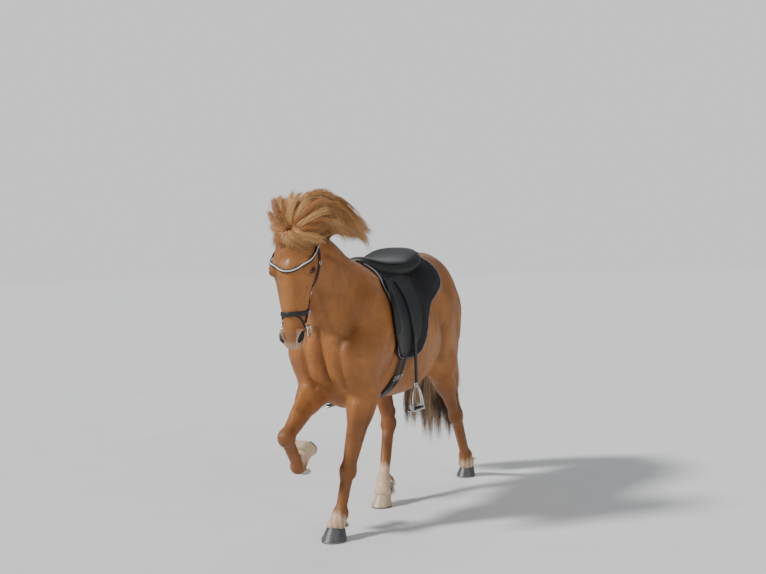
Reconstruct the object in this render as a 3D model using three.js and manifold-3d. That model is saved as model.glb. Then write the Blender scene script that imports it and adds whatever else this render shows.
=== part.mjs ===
// Icelandic horse in tölt, as a still life-size model, with its saddle and bridle.
// Millimetres, +Z up. The horse faces -Y and its left side is +X.
// The origin is on the floor under the middle of the body.
// One smooth field of muscles and bones gives every surface of the body: each piece is a loft whose
// rays run out from its own axis to that field, so that neighbours meet along thin flat cuts.

import * as THREE from 'three';
import { mergeVertices } from 'three/addons/utils/BufferGeometryUtils.js';
import Module from 'manifold-3d';

const wasm = await Module();
wasm.setup();

// Skeleton, as the joints lie in mid-stride
const POLL = [-8, -792, 1464];
const NOSE = [10, -850, 957];
const NECK_BASE = [0, -335, 1085];
const NECK_MIDDLE = [0, -568, 1268];
const CHEST = [0, -330, 925];
const LOIN = [0, 420, 1030];
const TAIL_ROOT = [0, 690, 1182];
const HEAD_TURN = 0.22;
const HEAD_SCALE = 0.97;

const FORE_LEFT = {
  side: 1,
  shoulder: [138, -480, 860],
  elbow: [120, -408, 668],
  joint: [78, -518, 308],
  fetlock: [62, -578, 112],
  coronet: [61, -622, 72],
  sole: [61, -645, 0],
};
const FORE_RIGHT = {
  side: -1,
  shoulder: [-124, -498, 880],
  elbow: [-130, -448, 690],
  joint: [-104, -768, 504],
  fetlock: [-130, -634, 342],
  coronet: [-131, -594, 386],
  sole: [-133, -552, 426],
};
const HIND_LEFT = {
  side: 1,
  hip: [112, 430, 1040],
  stifle: [152, 440, 706],
  joint: [128, 662, 392],
  fetlock: [110, 826, 126],
  coronet: [106, 842, 76],
  sole: [104, 838, 0],
};
const HIND_RIGHT = {
  side: -1,
  hip: [-112, 430, 1040],
  stifle: [-150, 232, 770],
  joint: [-84, 236, 406],
  fetlock: [-42, 76, 126],
  coronet: [-33, 40, 76],
  sole: [-30, 18, 0],
};

// Gaps and small sizes
const GAP = 0.3;
const SHOE_THICK = 9;
const SHOE_WEB = 22;
const FORE_HOOF = { length: 128, width: 118 };
const HIND_HOOF = { length: 116, width: 106 };
const HOOF_TOP = 0.76;

const v3 = (p) => new THREE.Vector3(...p);
const mix = (a, b, t) => a.map((value, i) => value + (b[i] - value) * t);
const plus = (a, b) => a.map((value, i) => value + b[i]);
const span = (n, make) => Array.from({ length: n }, (_, i) => make(i));

// Solids

function solidOf(geometry) {
  const bare = geometry.index ? geometry.toNonIndexed() : geometry.clone();
  const only = new THREE.BufferGeometry().setAttribute('position', bare.getAttribute('position'));
  const merged = mergeVertices(only, 1e-3);
  return new wasm.Manifold(new wasm.Mesh({
    numProp: 3,
    vertProperties: merged.attributes.position.array,
    triVerts: new Uint32Array(merged.index.array),
  }));
}

function largestOf(solid) {
  const pieces = solid.decompose();
  return pieces.reduce((best, piece) => (piece.volume() > best.volume() ? piece : best));
}

function geometryOf(solid) {
  const mesh = solid.getMesh();
  return new THREE.BufferGeometry()
    .setAttribute('position', new THREE.BufferAttribute(new Float32Array(mesh.vertProperties), 3))
    .setIndex(new THREE.BufferAttribute(new Uint32Array(mesh.triVerts), 1));
}

// A wide block that starts at a point and lies on the side that a direction shows.
function halfSpace(point, direction, reach = 3000) {
  const box = new THREE.BoxGeometry(reach, reach, reach);
  box.translate(0, 0, reach / 2);
  box.applyQuaternion(new THREE.Quaternion().setFromUnitVectors(
    new THREE.Vector3(0, 0, 1),
    v3(direction).normalize(),
  ));
  box.translate(...point);
  return solidOf(box);
}

function boxBetween(low, high) {
  const size = high.map((value, i) => value - low[i]);
  const box = new THREE.BoxGeometry(...size);
  box.translate(...mix(low, high, 0.5));
  return solidOf(box);
}

// An outline in the side view, of points [y, z], that runs across from one x to another.
function sideSlab(outline, xFrom, xTo) {
  const shape = new THREE.Shape(outline.map(([y, z]) => new THREE.Vector2(y, z)));
  const slab = new THREE.ExtrudeGeometry(shape, { depth: xTo - xFrom, bevelEnabled: false });
  slab.applyMatrix4(new THREE.Matrix4().makeBasis(
    new THREE.Vector3(0, 1, 0),
    new THREE.Vector3(0, 0, 1),
    new THREE.Vector3(1, 0, 0),
  ));
  slab.translate(xFrom, 0, 0);
  return solidOf(slab);
}

// Field: every muscle is a ball or a tapered cone, and each blends into those before it

function ball(centre, radii, blend = 40) {
  const [cx, cy, cz] = centre;
  const [rx, ry, rz] = radii;
  const distance = (x, y, z) => {
    const px = (x - cx) / rx;
    const py = (y - cy) / ry;
    const pz = (z - cz) / rz;
    const k0 = Math.hypot(px, py, pz);
    const k1 = Math.hypot(px / rx, py / ry, pz / rz);
    return k1 < 1e-9 ? -Math.min(rx, ry, rz) : (k0 * (k0 - 1)) / k1;
  };
  return { distance, blend };
}

// Flat narrows the cone from side to side: 0.6 gives a section that is 0.6 as wide as it is deep.
function cone(from, to, rFrom, rTo, blend = 30, flat = 1) {
  const [ax, ay, az] = from;
  const [dx, dy, dz] = to.map((value, i) => value - from[i]);
  const length2 = dx * dx + dy * dy + dz * dz;
  const distance = (x, y, z) => {
    const px = x - ax;
    const py = y - ay;
    const pz = z - az;
    const t = Math.min(1, Math.max(0, (px * dx + py * dy + pz * dz) / length2));
    const ox = px - dx * t;
    const oy = py - dy * t;
    const oz = pz - dz * t;
    const plain = Math.hypot(ox, oy, oz);
    const wide = Math.hypot(ox / flat, oy, oz);
    return wide < 1e-9 ? -rFrom : (wide - (rFrom + (rTo - rFrom) * t)) * (plain / wide);
  };
  return { distance, blend };
}

function fieldOf(parts) {
  return (x, y, z) => {
    let sum = parts[0].distance(x, y, z);
    for (let i = 1; i < parts.length; i += 1) {
      const next = parts[i].distance(x, y, z);
      const k = parts[i].blend;
      const h = Math.max(k - Math.abs(sum - next), 0) / k;
      sum = Math.min(sum, next) - (h * h * k) / 4;
    }
    return sum;
  };
}

const both = (make) => [make(1), make(-1)];

const TORSO_PARTS = [
  ball([0, 10, 925], [228, 545, 335]),
  ball([0, 160, 890], [230, 370, 290], 60),
  ball([0, -300, 905], [196, 250, 300], 80),
  cone([0, -470, 900], [0, -380, 690], 110, 92, 80),
  cone([0, -300, 1205], [0, -20, 1188], 66, 74, 90),
  cone([0, 0, 1185], [0, 300, 1212], 80, 98, 90),
  ...both((s) => ball([s * 70, 356, 1158], [132, 240, 178], 60)),
  ...both((s) => ball([s * 96, 490, 1020], [116, 208, 246], 60)),
  ...both((s) => cone([s * 68, 592, 1100], [s * 96, 574, 880], 90, 86, 60)),
  ...both((s) => ball([s * 168, 250, 1178], [54, 84, 62], 80)),
  cone([0, 545, 1232], TAIL_ROOT, 62, 40, 50),
  ...both((s) => cone([s * 62, -250, 1170], [s * 128, -470, 880], 62, 96, 70)),
  ...both((s) => ball([s * 138, -300, 960], [84, 120, 190], 60)),
  ...both((s) => ball([s * 84, -490, 850], [88, 88, 130], 60)),
];

const NECK_PARTS = [
  cone(NECK_BASE, NECK_MIDDLE, 205, 140, 90, 0.62),
  cone(NECK_MIDDLE, [-4, -700, 1376], 140, 106, 60, 0.62),
  cone([0, -300, 1238], [0, -560, 1362], 56, 48, 70, 0.8),
  cone([0, -560, 1362], [-6, -776, 1436], 48, 44, 50, 0.8),
  cone([0, -500, 960], [-2, -650, 1180], 92, 74, 70, 0.8),
];

function foreUpper(leg) {
  return [
    cone(leg.shoulder, leg.elbow, 96, 74, 60),
    ball(plus(leg.elbow, [0, 40, 12]), [52, 62, 62], 40),
  ];
}

function foreLower(leg) {
  const belly = mix(leg.elbow, leg.joint, 0.22);
  return [
    cone(leg.elbow, belly, 66, 66, 50, 0.86),
    cone(belly, leg.joint, 66, 36, 40, 0.86),
    ball(leg.joint, [41, 42, 46], 24),
    cone(leg.joint, leg.fetlock, 35, 31, 22, 0.88),
    ball(leg.fetlock, [35, 37, 36], 24),
    cone(leg.fetlock, leg.coronet, 31, 34, 24),
    ball(leg.coronet, [45, 45, 30], 26),
  ];
}

function hindUpper(leg) {
  return [
    cone(leg.hip, leg.stifle, 140, 86, 70, 0.8),
    ball(leg.stifle, [70, 84, 88], 50),
    cone(plus(leg.hip, [0, 150, -40]), mix(leg.stifle, leg.joint, 0.35), 110, 62, 60, 0.8),
  ];
}

function hindLower(leg) {
  const calf = mix(leg.stifle, leg.joint, 0.25);
  const point = plus(leg.joint, hockPoint(leg));
  return [
    cone(leg.stifle, calf, 84, 78, 50, 0.74),
    cone(calf, leg.joint, 78, 38, 40, 0.74),
    cone(mix(leg.stifle, point, 0.5), point, 34, 20, 30, 0.8),
    ball(leg.joint, [38, 46, 48], 24),
    cone(leg.joint, point, 32, 21, 20, 0.8),
    cone(leg.joint, leg.fetlock, 38, 32, 26, 0.9),
    ball(leg.fetlock, [36, 38, 37], 24),
    cone(leg.fetlock, leg.coronet, 31, 34, 24),
    ball(leg.coronet, [45, 45, 30], 26),
  ];
}

// The point of the hock stands back from the joint, in line with the cannon bone.
function hockPoint(leg) {
  const up = v3(leg.joint).sub(v3(leg.fetlock)).normalize();
  return [up.x * 54, up.y * 54 + 34, up.z * 54 + 8];
}

const LEG_FIELDS = new Map([
  [FORE_LEFT, [...foreUpper(FORE_LEFT), ...foreLower(FORE_LEFT)]],
  [FORE_RIGHT, [...foreUpper(FORE_RIGHT), ...foreLower(FORE_RIGHT)]],
  [HIND_LEFT, [...hindUpper(HIND_LEFT), ...hindLower(HIND_LEFT)]],
  [HIND_RIGHT, [...hindUpper(HIND_RIGHT), ...hindLower(HIND_RIGHT)]],
]);

// Lofts whose rays run out to a field

// Rings run from a half ball at the start of the axis, along it, to a half ball at its end.
function rayLoft({ field, axis, sides, ends, rings, reach, swell = 0, up = [1, 0, 0] }) {
  const path = axis.map(v3);
  const first = path[1].clone().sub(path[0]).normalize();
  const last = path.at(-1).clone().sub(path.at(-2)).normalize();
  const curve = new THREE.CurvePath();
  for (let i = 1; i < path.length; i += 1) curve.add(new THREE.LineCurve3(path[i - 1], path[i]));
  const stations = [];
  for (let i = 1; i <= ends; i += 1) {
    stations.push({ centre: path[0], along: first, tilt: -Math.PI / 2 + (i * Math.PI) / 2 / (ends + 0.5) });
  }
  for (let i = 0; i < rings; i += 1) {
    const t = rings === 1 ? 0.5 : i / (rings - 1);
    const centre = curve.getPoint(t);
    const along = first.clone().lerp(last, THREE.MathUtils.smoothstep(t, 0, 1)).normalize();
    stations.push({ centre, along, tilt: 0 });
  }
  for (let i = ends; i >= 1; i -= 1) {
    stations.push({ centre: path.at(-1), along: last, tilt: Math.PI / 2 - (i * Math.PI) / 2 / (ends + 0.5) });
  }
  const limit = typeof reach === 'function' ? reach : () => reach;
  const hit = (centre, direction, t) => {
    const most = limit(t, direction);
    const step = most / 48;
    let near = 0;
    let far = step;
    const at = (r) => field(
      centre.x + direction.x * r,
      centre.y + direction.y * r,
      centre.z + direction.z * r,
    );
    while (far < most && at(far) < 0) {
      near = far;
      far += step;
    }
    if (far >= most) return most + swell;
    for (let i = 0; i < 18; i += 1) {
      const middle = (near + far) / 2;
      if (at(middle) < 0) near = middle;
      else far = middle;
    }
    return far + swell;
  };
  const points = [];
  const put = (centre, direction, t) => {
    points.push(centre.clone().addScaledVector(direction, hit(centre, direction, t)));
  };
  put(path[0], first.clone().negate(), 0);
  stations.forEach(({ centre, along, tilt }, row) => {
    const u = v3(up).addScaledVector(along, -v3(up).dot(along)).normalize();
    const w = along.clone().cross(u);
    for (let j = 0; j < sides; j += 1) {
      const angle = (j / sides) * Math.PI * 2;
      const direction = u.clone().multiplyScalar(Math.cos(angle)).addScaledVector(w, Math.sin(angle));
      direction.multiplyScalar(Math.cos(tilt)).addScaledVector(along, Math.sin(tilt)).normalize();
      put(centre, direction, (row + 1) / (stations.length + 1));
    }
  });
  put(path.at(-1), last, 1);
  return solidOf(ringMesh(points, sides, stations.length));
}

// Skins rings of points that have one pole before them and one after them.
function ringMesh(points, sides, rings) {
  const faces = [];
  const at = (ring, side) => 1 + ring * sides + (side % sides);
  for (let j = 0; j < sides; j += 1) faces.push(0, at(0, j + 1), at(0, j));
  for (let i = 0; i + 1 < rings; i += 1) {
    for (let j = 0; j < sides; j += 1) {
      faces.push(at(i, j), at(i, j + 1), at(i + 1, j + 1));
      faces.push(at(i, j), at(i + 1, j + 1), at(i + 1, j));
    }
  }
  for (let j = 0; j < sides; j += 1) faces.push(points.length - 1, at(rings - 1, j), at(rings - 1, j + 1));
  const geometry = new THREE.BufferGeometry();
  const flat = points.flatMap((p) => (p.isVector3 ? [p.x, p.y, p.z] : p));
  geometry.setAttribute('position', new THREE.BufferAttribute(new Float32Array(flat), 3));
  return geometry.setIndex(faces);
}

// Head frame: left, front and down from the poll, turned a little to the horse's left

const headDown = v3(NOSE).sub(v3(POLL)).normalize();
const headFront = new THREE.Vector3(Math.sin(HEAD_TURN), -Math.cos(HEAD_TURN), 0)
  .addScaledVector(headDown, -headDown.dot(new THREE.Vector3(Math.sin(HEAD_TURN), -Math.cos(HEAD_TURN), 0)))
  .normalize();
const headLeft = headFront.clone().cross(headDown);

function onHead([left, front, down]) {
  return v3(POLL)
    .addScaledVector(headLeft, left * HEAD_SCALE)
    .addScaledVector(headFront, front * HEAD_SCALE)
    .addScaledVector(headDown, down * HEAD_SCALE)
    .toArray();
}

const HEAD_LOCAL = [
  ball([0, 2, 60], [78, 68, 88]),
  ball([0, 22, 146], [92, 52, 104], 40),
  ...both((s) => cone([s * 72, -22, 96], [s * 84, 6, 170], 24, 24, 30)),
  ...both((s) => ball([s * 82, 26, 174], [27, 34, 36], 26)),
  ...both((s) => cone([s * 80, -12, 206], [s * 54, -6, 350], 19, 13, 26)),
  ...both((s) => ball([s * 54, -64, 162], [45, 92, 100], 30)),
  ...both((s) => cone([s * 38, -106, 196], [s * 24, -46, 396], 33, 23, 30)),
  cone([0, 28, 190], [0, 20, 470], 53, 36, 30),
  cone([0, -14, 200], [0, -4, 440], 66, 44, 40),
  cone([0, -64, 210], [0, -26, 440], 46, 30, 40),
  ball([0, 4, 492], [53, 45, 52], 24),
  ball([0, 14, 526], [43, 29, 30], 20),
  ...both((s) => ball([s * 41, 28, 490], [21, 23, 34], 16)),
  ball([0, -24, 518], [31, 22, 26], 14),
  ball([0, -34, 486], [29, 21, 28], 16),
];

const localHead = fieldOf(HEAD_LOCAL);
const headPart = {
  blend: 46,
  distance: (x, y, z) => {
    const p = new THREE.Vector3(x, y, z).sub(v3(POLL)).divideScalar(HEAD_SCALE);
    return localHead(p.dot(headLeft), p.dot(headFront), p.dot(headDown)) * HEAD_SCALE;
  },
};

// Body of flesh: whole pieces first, then thin flat cuts between them

const LEGS = [
  { leg: FORE_LEFT, name: 'foreleg_left', upper: 'forearm', top: 'elbow', feather: [2, 56], cut: [[118, -416, 636], [-0.05, 0.1, -1]] },
  { leg: FORE_RIGHT, name: 'foreleg_right', upper: 'forearm', top: 'elbow', cut: [[-126, -512, 650], [0.06, -0.85, -0.52]] },
  { leg: HIND_LEFT, name: 'hind_leg_left', upper: 'gaskin', top: 'stifle', feather: [1, 60], cut: [[150, 470, 668], [0, 0.3, -0.95]] },
  { leg: HIND_RIGHT, name: 'hind_leg_right', upper: 'gaskin', top: 'stifle', feather: [2, 84], cut: [[-150, 232, 706], [0, 0.1, -1]] },
];
// Each leg's own room: a box beside the trunk, and all that is lower than the belly on its side.
const LEG_ROOMS = new Map([
  [FORE_LEFT, [[56, -560, 400], [230, -312, 700]]],
  [FORE_RIGHT, [[-230, -900, 200], [-54, -420, 760]]],
  [HIND_LEFT, [[44, 300, 400], [280, 1000, 800]]],
  [HIND_RIGHT, [[-270, 128, 400], [-60, 420, 800]]],
]);
const BELLY = 560;

function legRoom(leg, grow) {
  const [low, high] = LEG_ROOMS.get(leg);
  const room = boxBetween(low.map((value) => value - grow), high.map((value) => value + grow));
  const under = leg.side > 0 ? [[0, -1200, -60], [400, 1200, BELLY]] : [[-400, -1200, -60], [0, 1200, BELLY]];
  return room.add(boxBetween(under[0], under[1].map((value, i) => (i === 2 ? value + grow : value))));
}

const trunkField = fieldOf([
  ...TORSO_PARTS,
  ...NECK_PARTS,
  ...foreUpper(FORE_LEFT),
  ...foreUpper(FORE_RIGHT),
  ...hindUpper(HIND_LEFT),
  ...hindUpper(HIND_RIGHT),
]);
const neckField = fieldOf([...TORSO_PARTS, ...NECK_PARTS, headPart]);

function trunkShell(swell) {
  return rayLoft({ field: trunkField, axis: [CHEST, LOIN], sides: 28, ends: 7, rings: 12, reach: 560, swell });
}

function headShell(swell) {
  return rayLoft({
    field: neckField,
    axis: [onHead([0, -30, 70]), onHead([0, -24, 200]), onHead([0, 0, 470])],
    sides: 22,
    ends: 4,
    rings: 15,
    reach: 190,
    swell,
    up: headLeft.toArray(),
  });
}

function neckShell(swell) {
  return rayLoft({
    field: neckField,
    axis: [[0, -400, 1120], [-4, -652, 1356]],
    sides: 22,
    ends: 4,
    rings: 8,
    reach: 340,
    swell,
  });
}

function legLoft(leg, from, to, sides, rings, reach, swell = 0) {
  return rayLoft({ field: fieldOf(LEG_FIELDS.get(leg)), axis: [from, to], sides, ends: 3, rings, reach, swell });
}

// Takes away all that lies past a plane, and half the gap as well.
function trim(solid, point, direction, gap = GAP / 2) {
  const along = v3(direction).normalize();
  return solid.subtract(halfSpace(plus(point, along.multiplyScalar(-gap).toArray()), direction));
}

function cutBetween(a, b, c) {
  const into = v3(b).sub(v3(a)).normalize();
  const out = v3(c).sub(v3(b)).normalize();
  return into.add(out).normalize().toArray();
}

const back = (direction) => direction.map((value) => -value);

let wholeTrunk = trunkShell(0);
LEGS.forEach(({ leg, top }) => {
  wholeTrunk = wholeTrunk.add(legLoft(leg, leg[top], leg.joint, 13, 8, top === 'elbow' ? 118 : 140));
});

function legRegion({ leg, cut: [point, direction] }, grow) {
  const start = plus(point, v3(direction).normalize().multiplyScalar(-grow).toArray());
  return legRoom(leg, grow).intersect(halfSpace(start, direction));
}

let trunk = wholeTrunk;
LEGS.forEach((entry) => { trunk = trunk.subtract(legRegion(entry, GAP)); });

const NECK_CUT = [[0, -430, 1180], [0, -0.78, 0.62]];
const HEAD_CUT = [[0, -662, 1340], [0, -0.985, -0.172]];
const THROAT = [[-300, -707, 700], [300, 0, 1228]];
const TAIL_CUT = [[0, 684, 1184], [0, 0.94, -0.34]];
const TAIL_ROOM = [[-90, 640, 1100], [90, 900, 1300]];
trunk = trim(trunk, ...NECK_CUT);

// The head is all that lies before its cut, but for the underside of the neck below the throat.
function headRegion(grow) {
  const [[lowX, lowY, lowZ], [highX, highY, highZ]] = THROAT;
  const throat = boxBetween([lowX, lowY + grow, lowZ], [highX, highY, highZ - grow]);
  const start = plus(HEAD_CUT[0], v3(HEAD_CUT[1]).multiplyScalar(-grow).toArray());
  return halfSpace(start, HEAD_CUT[1]).subtract(throat);
}

const tailStart = plus(TAIL_CUT[0], v3(TAIL_CUT[1]).multiplyScalar(-GAP).toArray());
trunk = trunk.subtract(halfSpace(tailStart, TAIL_CUT[1]).intersect(boxBetween(...TAIL_ROOM)));

const model = new THREE.Group();
const finish = {
  coat: new THREE.MeshStandardMaterial({ color: 0xa9622b, roughness: 0.6, metalness: 0 }),
  mane: new THREE.MeshStandardMaterial({ color: 0xc9965c, roughness: 0.6, metalness: 0 }),
  horn: new THREE.MeshStandardMaterial({ color: 0x4c4a4a, roughness: 0.5, metalness: 0 }),
  paleHorn: new THREE.MeshStandardMaterial({ color: 0xcdb791, roughness: 0.5, metalness: 0 }),
  eye: new THREE.MeshStandardMaterial({ color: 0x1a0f0a, roughness: 0.05, metalness: 0 }),
  leather: new THREE.MeshStandardMaterial({ color: 0x151414, roughness: 0.45, metalness: 0 }),
  cloth: new THREE.MeshStandardMaterial({ color: 0x1b1b1c, roughness: 0.9, metalness: 0 }),
  steel: new THREE.MeshStandardMaterial({ color: 0xb8bcc0, roughness: 0.25, metalness: 1 }),
  iron: new THREE.MeshStandardMaterial({ color: 0x6d6a66, roughness: 0.5, metalness: 0.9 }),
};

function addNode(name, solid, material) {
  const mesh = new THREE.Mesh(geometryOf(largestOf(solid)), material);
  mesh.name = name;
  model.add(mesh);
}

addNode('torso', trunk, finish.coat);

// The crest is cut from the neck along a plane, and in two across it, and carries the mane.
const CREST_CUT = [[0, -500, 1330], [0, 0.38, 0.925]];
const CREST_SPLIT = [[0, -560, 1350], [0, 1, 0]];
const wholeNeck = trim(neckShell(0), NECK_CUT[0], back(NECK_CUT[1])).subtract(headRegion(GAP));
addNode('neck', trim(wholeNeck, ...CREST_CUT), finish.coat);
const crestBand = trim(wholeNeck, CREST_CUT[0], back(CREST_CUT[1]));

// Hair: a lock is a flat band along a curve, widest near its root, that runs out to a point

function seeded(seed) {
  let state = seed;
  return (low, high) => {
    state = (state * 1664525 + 1013904223) % 4294967296;
    return low + ((high - low) * state) / 4294967296;
  };
}

function lock({ through, width, thick, face, sides = 4, rings = 5 }) {
  const curve = new THREE.CatmullRomCurve3(through.map(v3));
  const points = [curve.getPoint(0)];
  for (let i = 0; i < rings; i += 1) {
    const t = (i + 0.2) / rings;
    const along = curve.getTangent(t);
    const across = along.clone().cross(v3(face)).normalize();
    const normal = along.clone().cross(across);
    const swell = Math.sin(Math.PI * Math.min(1, 0.22 + t * 0.56)) * (1 - 0.72 * t ** 3);
    for (let j = 0; j < sides; j += 1) {
      const angle = (j / sides) * Math.PI * 2;
      points.push(curve.getPoint(t)
        .addScaledVector(across, Math.cos(angle) * width * 0.5 * swell)
        .addScaledVector(normal, Math.sin(angle) * thick * 0.5 * swell));
    }
  }
  points.push(curve.getPoint(1));
  return solidOf(ringMesh(points, sides, rings));
}

const joined = (solids) => solids.reduce((whole, piece) => whole.add(piece));

// Feather hangs from the back of the planted fetlocks, longest on the right hind leg.
const FEATHER = { width: 30, thick: 15, lean: 0.5 };

function featherLocks(leg, count, length) {
  const down = v3(leg.coronet).sub(v3(leg.fetlock)).normalize();
  const rear = new THREE.Vector3(0, 1, 0).addScaledVector(down, -down.y).normalize();
  return span(count, (i) => {
    const vary = seeded(43 + i * 11 + length);
    const turn = (i - (count - 1) / 2) * FEATHER.lean;
    const out = rear.clone().applyAxisAngle(down, turn);
    const at = (fall, off) => v3(leg.fetlock)
      .addScaledVector(out, off)
      .add(new THREE.Vector3(0, 0, 10 - fall))
      .toArray();
    return lock({
      through: [at(-8, 16), at(length * 0.3, 46), at(length * 0.7, 56), at(length * vary(0.9, 1), 58)],
      width: FEATHER.width,
      thick: FEATHER.thick,
      face: out.toArray(),
      rings: 4,
    });
  });
}

// Lower legs, hooves and shoes

function hoofRing(length, width, height, shift, tilt) {
  return span(14, (i) => {
    const angle = (i / 14) * Math.PI * 2;
    const x = Math.cos(angle) * width / 2;
    const along = Math.max(Math.sin(angle) * length / 2, -length * 0.42);
    return [x, along + shift, height + along * tilt];
  });
}

// The hoof frame has the toe along its own Y and the leg above its own Z.
function hoofFrame(leg) {
  const upright = leg.sole[2] < 1;
  const up = upright
    ? new THREE.Vector3(0, 0, 1)
    : v3(leg.coronet).sub(v3(leg.sole)).normalize();
  const toe = upright ? new THREE.Vector3(0, -1, 0) : new THREE.Vector3(0.02, 0.56, -0.83);
  toe.addScaledVector(up, -toe.dot(up)).normalize();
  return new THREE.Matrix4().makeBasis(toe.clone().cross(up), toe, up).setPosition(...leg.sole);
}

const hoofOf = (leg) => (leg.hip ? HIND_HOOF : FORE_HOOF);

function hoofSolid(leg) {
  const { length, width } = hoofOf(leg);
  const bottom = SHOE_THICK + GAP;
  const rings = [
    hoofRing(length, width, bottom, 0, 0),
    hoofRing(length * 0.9, width * 0.9, 34, -12, 0.08),
    hoofRing(length * HOOF_TOP, width * HOOF_TOP, 56, -24, 0.22),
    hoofRing(length * HOOF_TOP * 0.92, width * HOOF_TOP * 0.92, 63, -25, 0.24),
  ];
  const points = [[0, 0, bottom], ...rings.flat(), [0, -25, 63]];
  return solidOf(ringMesh(points, 14, rings.length).applyMatrix4(hoofFrame(leg)));
}

function shoeSolid(leg) {
  const { length, width } = hoofOf(leg);
  const arc = span(11, (i) => -0.72 + (i / 10) * (Math.PI + 1.44));
  const outer = arc.map((a) => new THREE.Vector2(Math.cos(a) * width / 2, Math.sin(a) * length / 2));
  const inner = [...arc].reverse().map((a) => new THREE.Vector2(
    Math.cos(a) * (width / 2 - SHOE_WEB),
    Math.sin(a) * (length / 2 - SHOE_WEB),
  ));
  const shape = new THREE.Shape([...outer, ...inner]);
  const shoe = new THREE.ExtrudeGeometry(shape, { depth: SHOE_THICK, bevelEnabled: false });
  return solidOf(shoe.applyMatrix4(hoofFrame(leg)));
}

LEGS.forEach((entry) => {
  const { leg, name, upper, top, feather = [0, 0] } = entry;
  const knee = cutBetween(leg[top], leg.joint, leg.fetlock);
  const ankle = cutBetween(leg.joint, leg.fetlock, leg.coronet);
  const frame = hoofFrame(leg);
  const crown = new THREE.Vector3(0, -25, 63 + GAP).applyMatrix4(frame).toArray();
  const crownUp = new THREE.Vector3(0, -0.24, 1).transformDirection(frame).toArray();
  const above = wholeTrunk.intersect(legRegion(entry, 0));
  addNode(name + '_' + upper, trim(above, leg.joint, knee), finish.coat);
  const cannon = legLoft(leg, leg.joint, leg.fetlock, 12, 6, 66);
  const shank = trim(trim(cannon, leg.joint, back(knee)), leg.fetlock, ankle);
  const pastern = trim(
    trim(legLoft(leg, leg.fetlock, leg.coronet, 12, 3, 58), leg.fetlock, back(ankle)),
    crown,
    back(crownUp),
    0,
  );
  const hairs = featherLocks(leg, ...feather);
  const pasternRoom = legLoft(leg, leg.fetlock, leg.coronet, 12, 3, 58, GAP * 1.5);
  const below = pasternRoom.intersect(halfSpace(leg.fetlock, ankle));
  const feathered = hairs.reduce((whole, piece) => whole.add(piece.subtract(below)), shank);
  addNode(name + '_cannon', feathered, finish.coat);
  addNode(name + '_pastern', pastern, finish.coat);
  const horn = leg === FORE_RIGHT || leg === HIND_RIGHT ? finish.paleHorn : finish.horn;
  addNode(name + '_hoof', hoofSolid(leg), horn);
  addNode(name + '_shoe', shoeSolid(leg), finish.iron);
});

// Head: sockets, nostrils and mouth are cut, lids are added

const headMatrix = new THREE.Matrix4()
  .makeBasis(headLeft, headFront, headDown)
  .scale(new THREE.Vector3(HEAD_SCALE, HEAD_SCALE, HEAD_SCALE))
  .setPosition(...POLL);
const inHead = (geometry) => solidOf(geometry.applyMatrix4(headMatrix));

const EYE = { place: [88, 22, 188], radius: 21 };
const BIT = { front: -14, down: 452, out: 62, radius: 27 };
const EAR = { place: [52, -26, 8], length: 128, bend: -10, back: 0.5, out: 0.42 };

function eyeBall(side, radius) {
  const globe = new THREE.SphereGeometry(radius, 14, 9);
  globe.translate(side * EYE.place[0], EYE.place[1], EYE.place[2]);
  return inHead(globe);
}

function lid(side) {
  const rim = new THREE.TorusGeometry(EYE.radius + 1, 4.5, 4, 12);
  rim.scale(1.12, 0.74, 1);
  rim.rotateZ(side * -0.87);
  rim.rotateX(Math.PI / 2);
  rim.rotateZ(side * -1.22);
  const [x, y, z] = EYE.place;
  rim.translate(side * (x + 10), y + 4, z);
  return inHead(rim);
}

function nostril(side) {
  const hole = new THREE.SphereGeometry(1, 10, 6);
  hole.scale(8, 13, 19);
  hole.rotateX(-0.35);
  hole.rotateZ(side * -0.5);
  hole.translate(side * 47, 38, 500);
  return inHead(hole);
}

function mouthLine() {
  const line = new THREE.Shape([
    new THREE.Vector2(30, 575),
    new THREE.Vector2(-10, 545),
    new THREE.Vector2(-12, 500),
    new THREE.Vector2(-22, 452),
    new THREE.Vector2(-18, 450),
    new THREE.Vector2(-7, 500),
    new THREE.Vector2(-5, 543),
    new THREE.Vector2(34, 570),
  ]);
  const blade = new THREE.ExtrudeGeometry(line, { depth: 130, bevelEnabled: false });
  blade.applyMatrix4(new THREE.Matrix4().makeBasis(
    new THREE.Vector3(0, 1, 0),
    new THREE.Vector3(0, 0, 1),
    new THREE.Vector3(1, 0, 0),
  ));
  blade.translate(-65, 0, 0);
  const core = new THREE.CylinderGeometry(22, 34, 104, 10);
  core.rotateX(Math.PI / 2);
  core.translate(0, -10, 478);
  return inHead(blade).subtract(inHead(core));
}

let head = headShell(0).intersect(headRegion(0));
both((s) => {
  head = head.add(lid(s));
  return s;
});
both((s) => {
  head = head.subtract(eyeBall(s, EYE.radius + GAP)).subtract(nostril(s));
  return s;
});
const bitHole = new THREE.CylinderGeometry(6.6, 6.6, 200, 8);
bitHole.rotateZ(Math.PI / 2);
bitHole.translate(0, BIT.front, BIT.down);
head = head.subtract(mouthLine()).subtract(inHead(bitHole));
addNode('eye_left', eyeBall(1, EYE.radius), finish.eye);
addNode('eye_right', eyeBall(-1, EYE.radius), finish.eye);

// Ears: a curved leaf with its cup cut into the front

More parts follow.
